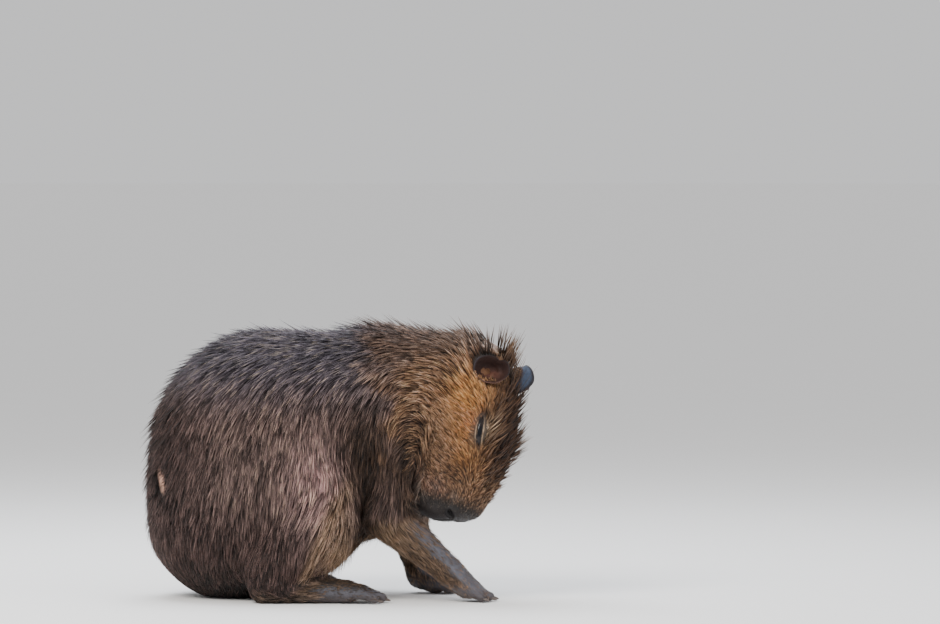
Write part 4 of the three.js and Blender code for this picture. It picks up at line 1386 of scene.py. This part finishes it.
def grow_coat():
    """Long, coarse hair of trunk, neck, haunches and upper arms, one tuft in six standing proud."""
    roots = grown(trunk_share, BODY_TUFTS)
    z = roots.at[:, 2]
    count = len(z)
    on_neck = neckness(roots.at)
    room = 2.0 + 5.0 * soft(z, 40, 120)
    lengths = (31 - 7 * on_neck) * rng.uniform(0.7, 1.25, count) * (0.55 + 0.45 * soft(z, 20, 110))
    coarse = rng.random(count) < 0.32
    widths = np.where(coarse, rng.uniform(1.3, 1.9, count), rng.uniform(0.65, 1.1, count))
    standing = rng.random(count) < 0.16
    proud = np.where(standing, rng.uniform(2, 9, count), 0) * soft(z, 60, 140)
    levels = room * 0.5 + proud * 0.4, room * rng.uniform(0.35, 1.15, count) + proud
    tufts("coat", "coat", roots, lengths, widths, levels, spread=0.56 + 0.12 * on_neck, shade=0.8,
          spacing=6, per_clump=6)


def grow_head_fur():
    """Shorter hair of the head, shortest on the muzzle and round the eyes."""
    roots = grown(head_share * open_skin * off_floor, HEAD_TUFTS)
    s, u, _ = head_coords(roots.at)
    count = len(s)
    face = soft(s, 60, 205)
    forehead = soft(u, 22, 36) * fade(s, 180, 215)
    by_eye = np.ones(count)
    for sign in SIDES.values():
        along, across, out = eye_coords(roots.at, sign)
        by_eye *= 1 - 0.75 * spot(along, across, (0, 0), (28, 13)) * (out > 0)
    lengths = (19 - 12.5 * face + 3 * forehead) * rng.uniform(0.65, 1.25, count)
    lengths = lengths * by_eye * (1 - 0.35 * soft(s, 204, 224))
    widths = (0.9 - 0.3 * face) * rng.uniform(0.7, 1.25, count) * (0.5 + 0.5 * by_eye)
    stand = (1.5 + 2.2 * (1 - face) + 1.0 * forehead) * by_eye
    levels = stand * 0.6, stand * rng.uniform(0.4, 1.5, count)
    tufts("head_fur", "head_fur", roots, lengths, widths, levels, spread=0.56, shade=0.84,
          spacing=4.5, per_clump=5)


def grow_leg_fur():
    roots = grown(leg_share * off_floor * (0.06 + open_skin), LEG_TUFTS)
    z = roots.at[:, 2]
    count = len(z)
    lengths = rng.uniform(6, 9, count) + 12 * soft(z, 40, 110) * rng.uniform(0.6, 1.1, count)
    widths = rng.uniform(0.5, 0.9, count)
    levels = 0.8, 1.0 + 2.2 * soft(z, 30, 100)
    tufts("leg_fur", "leg_fur", roots, lengths, widths, levels, pull=0.4, spacing=5)


class EarRoots:
    """Places on the back of an ear where tufts grow, with the hair lying towards the rim."""

    def __init__(self, sign, count):
        grid, _ = ear_outside(sign)
        i = (rng.uniform(0.2, 0.62, count) * (EAR_RINGS - 1)).astype(int)
        j = rng.integers(0, EAR_COLUMNS, count)
        beside = (j + 1) % EAR_COLUMNS
        along = rng.random((count, 1))
        self.at = (grid[i, j] * (1 - along) + grid[i, beside] * along).astype(F)
        out = grid[np.minimum(i + 1, EAR_RINGS - 1), j] - grid[i - 1, j]
        normal = units(np.cross(out, grid[i, beside] - grid[i, j]))
        _, top, cup = ear_axes(sign)
        self.normal = (normal * np.sign(normal @ -cup)[:, None]).astype(F)
        self.lie = units(units(out) + 0.5 * top).astype(F)
        self.uv = np.stack([j / EAR_COLUMNS * 0.9 + 0.05, i / EAR_RINGS * 0.9 + 0.05], 1)


def grow_ear_fur(sign, side):
    roots = EarRoots(sign, int(EAR_TUFTS * density))
    count = len(roots.at)
    wears = np.tile(BRIDGE_DARK * 1.3, (count, 1)), np.tile(CHEEK_TIP * 0.7, (count, 1))
    tufts(f"ear_fur_{side}", "ear", roots, rng.uniform(5, 9, count), rng.uniform(0.5, 0.8, count),
          lift=rng.uniform(0.05, 0.3, count), pull=0.4, spread=0.4, spacing=4, keep_along=0.25, wears=wears)


# Long single bristles stand clear of the coat. Those of crown and fringe are turned up and down
BRISTLE_TURNS = {"crown": (0.1, 0, 0.9), "fringe": (-0.15, 0, -0.8)}
CROWN_TOP, COAT_TOP = 412.0, 425.0


def bristle_kinds():
    """For each kind: label, where they grow, how many, length, steepness, width and brightness."""
    x, _, z = ground.middles.T
    nx, ny, nz = ground.normals.T
    s, u, r = head_coords(ground.middles)
    aside = np.abs(r)
    crown = head_share * open_skin * fade(s, 16, 44) * soft(u, -10, 15) * fade(aside, 44, 60)
    nape = trunk_share * soft(x, 150, 190) * soft(z, 345, 370)
    withers = trunk_share * soft(z, 350, 375) * soft(x, -60, 0) * soft(nz, 0.3, 0.6)
    rump = trunk_share * soft(z, 150, 220) * soft(-x, 60, 160) * fade(np.abs(ny), 0.5, 0.8)
    brow = head_share * soft(ground.normals @ UP, 0.6, 0.85) * soft(s, 24, 50) * fade(s, 170, 215)
    fringe = trunk_share * fade(z, 76, 104) * soft(x, -30, 10) * soft(-nz, -0.2, 0.4)
    elbows = trunk_share * soft(x, 40, 64) * fade(z, 118, 150) * fade(nx, -0.1, 0.4)
    lips = head_share * soft(s, 196, 214) * fade(s, 232, 240) * soft(aside, 18, 30) * fade(u, -24, -8)
    return [("crown", crown, 200, 38, 0.6, 3.0, 0.38),
            ("nape", nape, 300, 36, 0.42, 2.4, 0.5),
            ("withers", withers, 520, 42, 0.42, 3.0, 0.4),
            ("rump", rump, 800, 33, 0.42, 3.2, 0.42),
            ("brow", brow, 800, 26, 0.64, 3.0, 0.6),
            ("fringe", fringe, 700, 20, 0.4, 0.9, 1.0),
            ("elbows", elbows, 600, 26, 0.3, 0.9, 1.0),
            ("lips", lips, 120, 24, 0.6, 0.5, 2.2)]


def grow_bristles(label, weight, amount, length, lift, width, shade):
    roots = grown(weight, amount / density)
    count = len(roots.at)
    if label in BRISTLE_TURNS:
        roots.lie = units(roots.lie + np.array(BRISTLE_TURNS[label]))
    lengths = length * rng.uniform(0.6, 1.25, count)
    lifts = lift * rng.uniform(0.5, 1.3, count)
    if label == "brow":
        lengths = lengths * (1 - 0.5 * soft(head_coords(roots.at)[0], 110, 200))
    climb = np.maximum(roots.lie[:, 2] + lifts * roots.normal[:, 2], 0.01)
    top = CROWN_TOP if label == "crown" else COAT_TOP
    lengths = np.minimum(lengths, np.maximum(top - roots.at[:, 2], 4.0) / climb)
    widths = width * rng.uniform(0.6, 1.2, count)
    tufts(f"bristles_{label}", "coat", roots, lengths, widths, lift=lifts, pull=0.8, shade=shade)


grow_coat()
grow_head_fur()
grow_leg_fur()
for side, sign in SIDES.items():
    grow_ear_fur(sign, side)
for kind in bristle_kinds():
    grow_bristles(*kind)
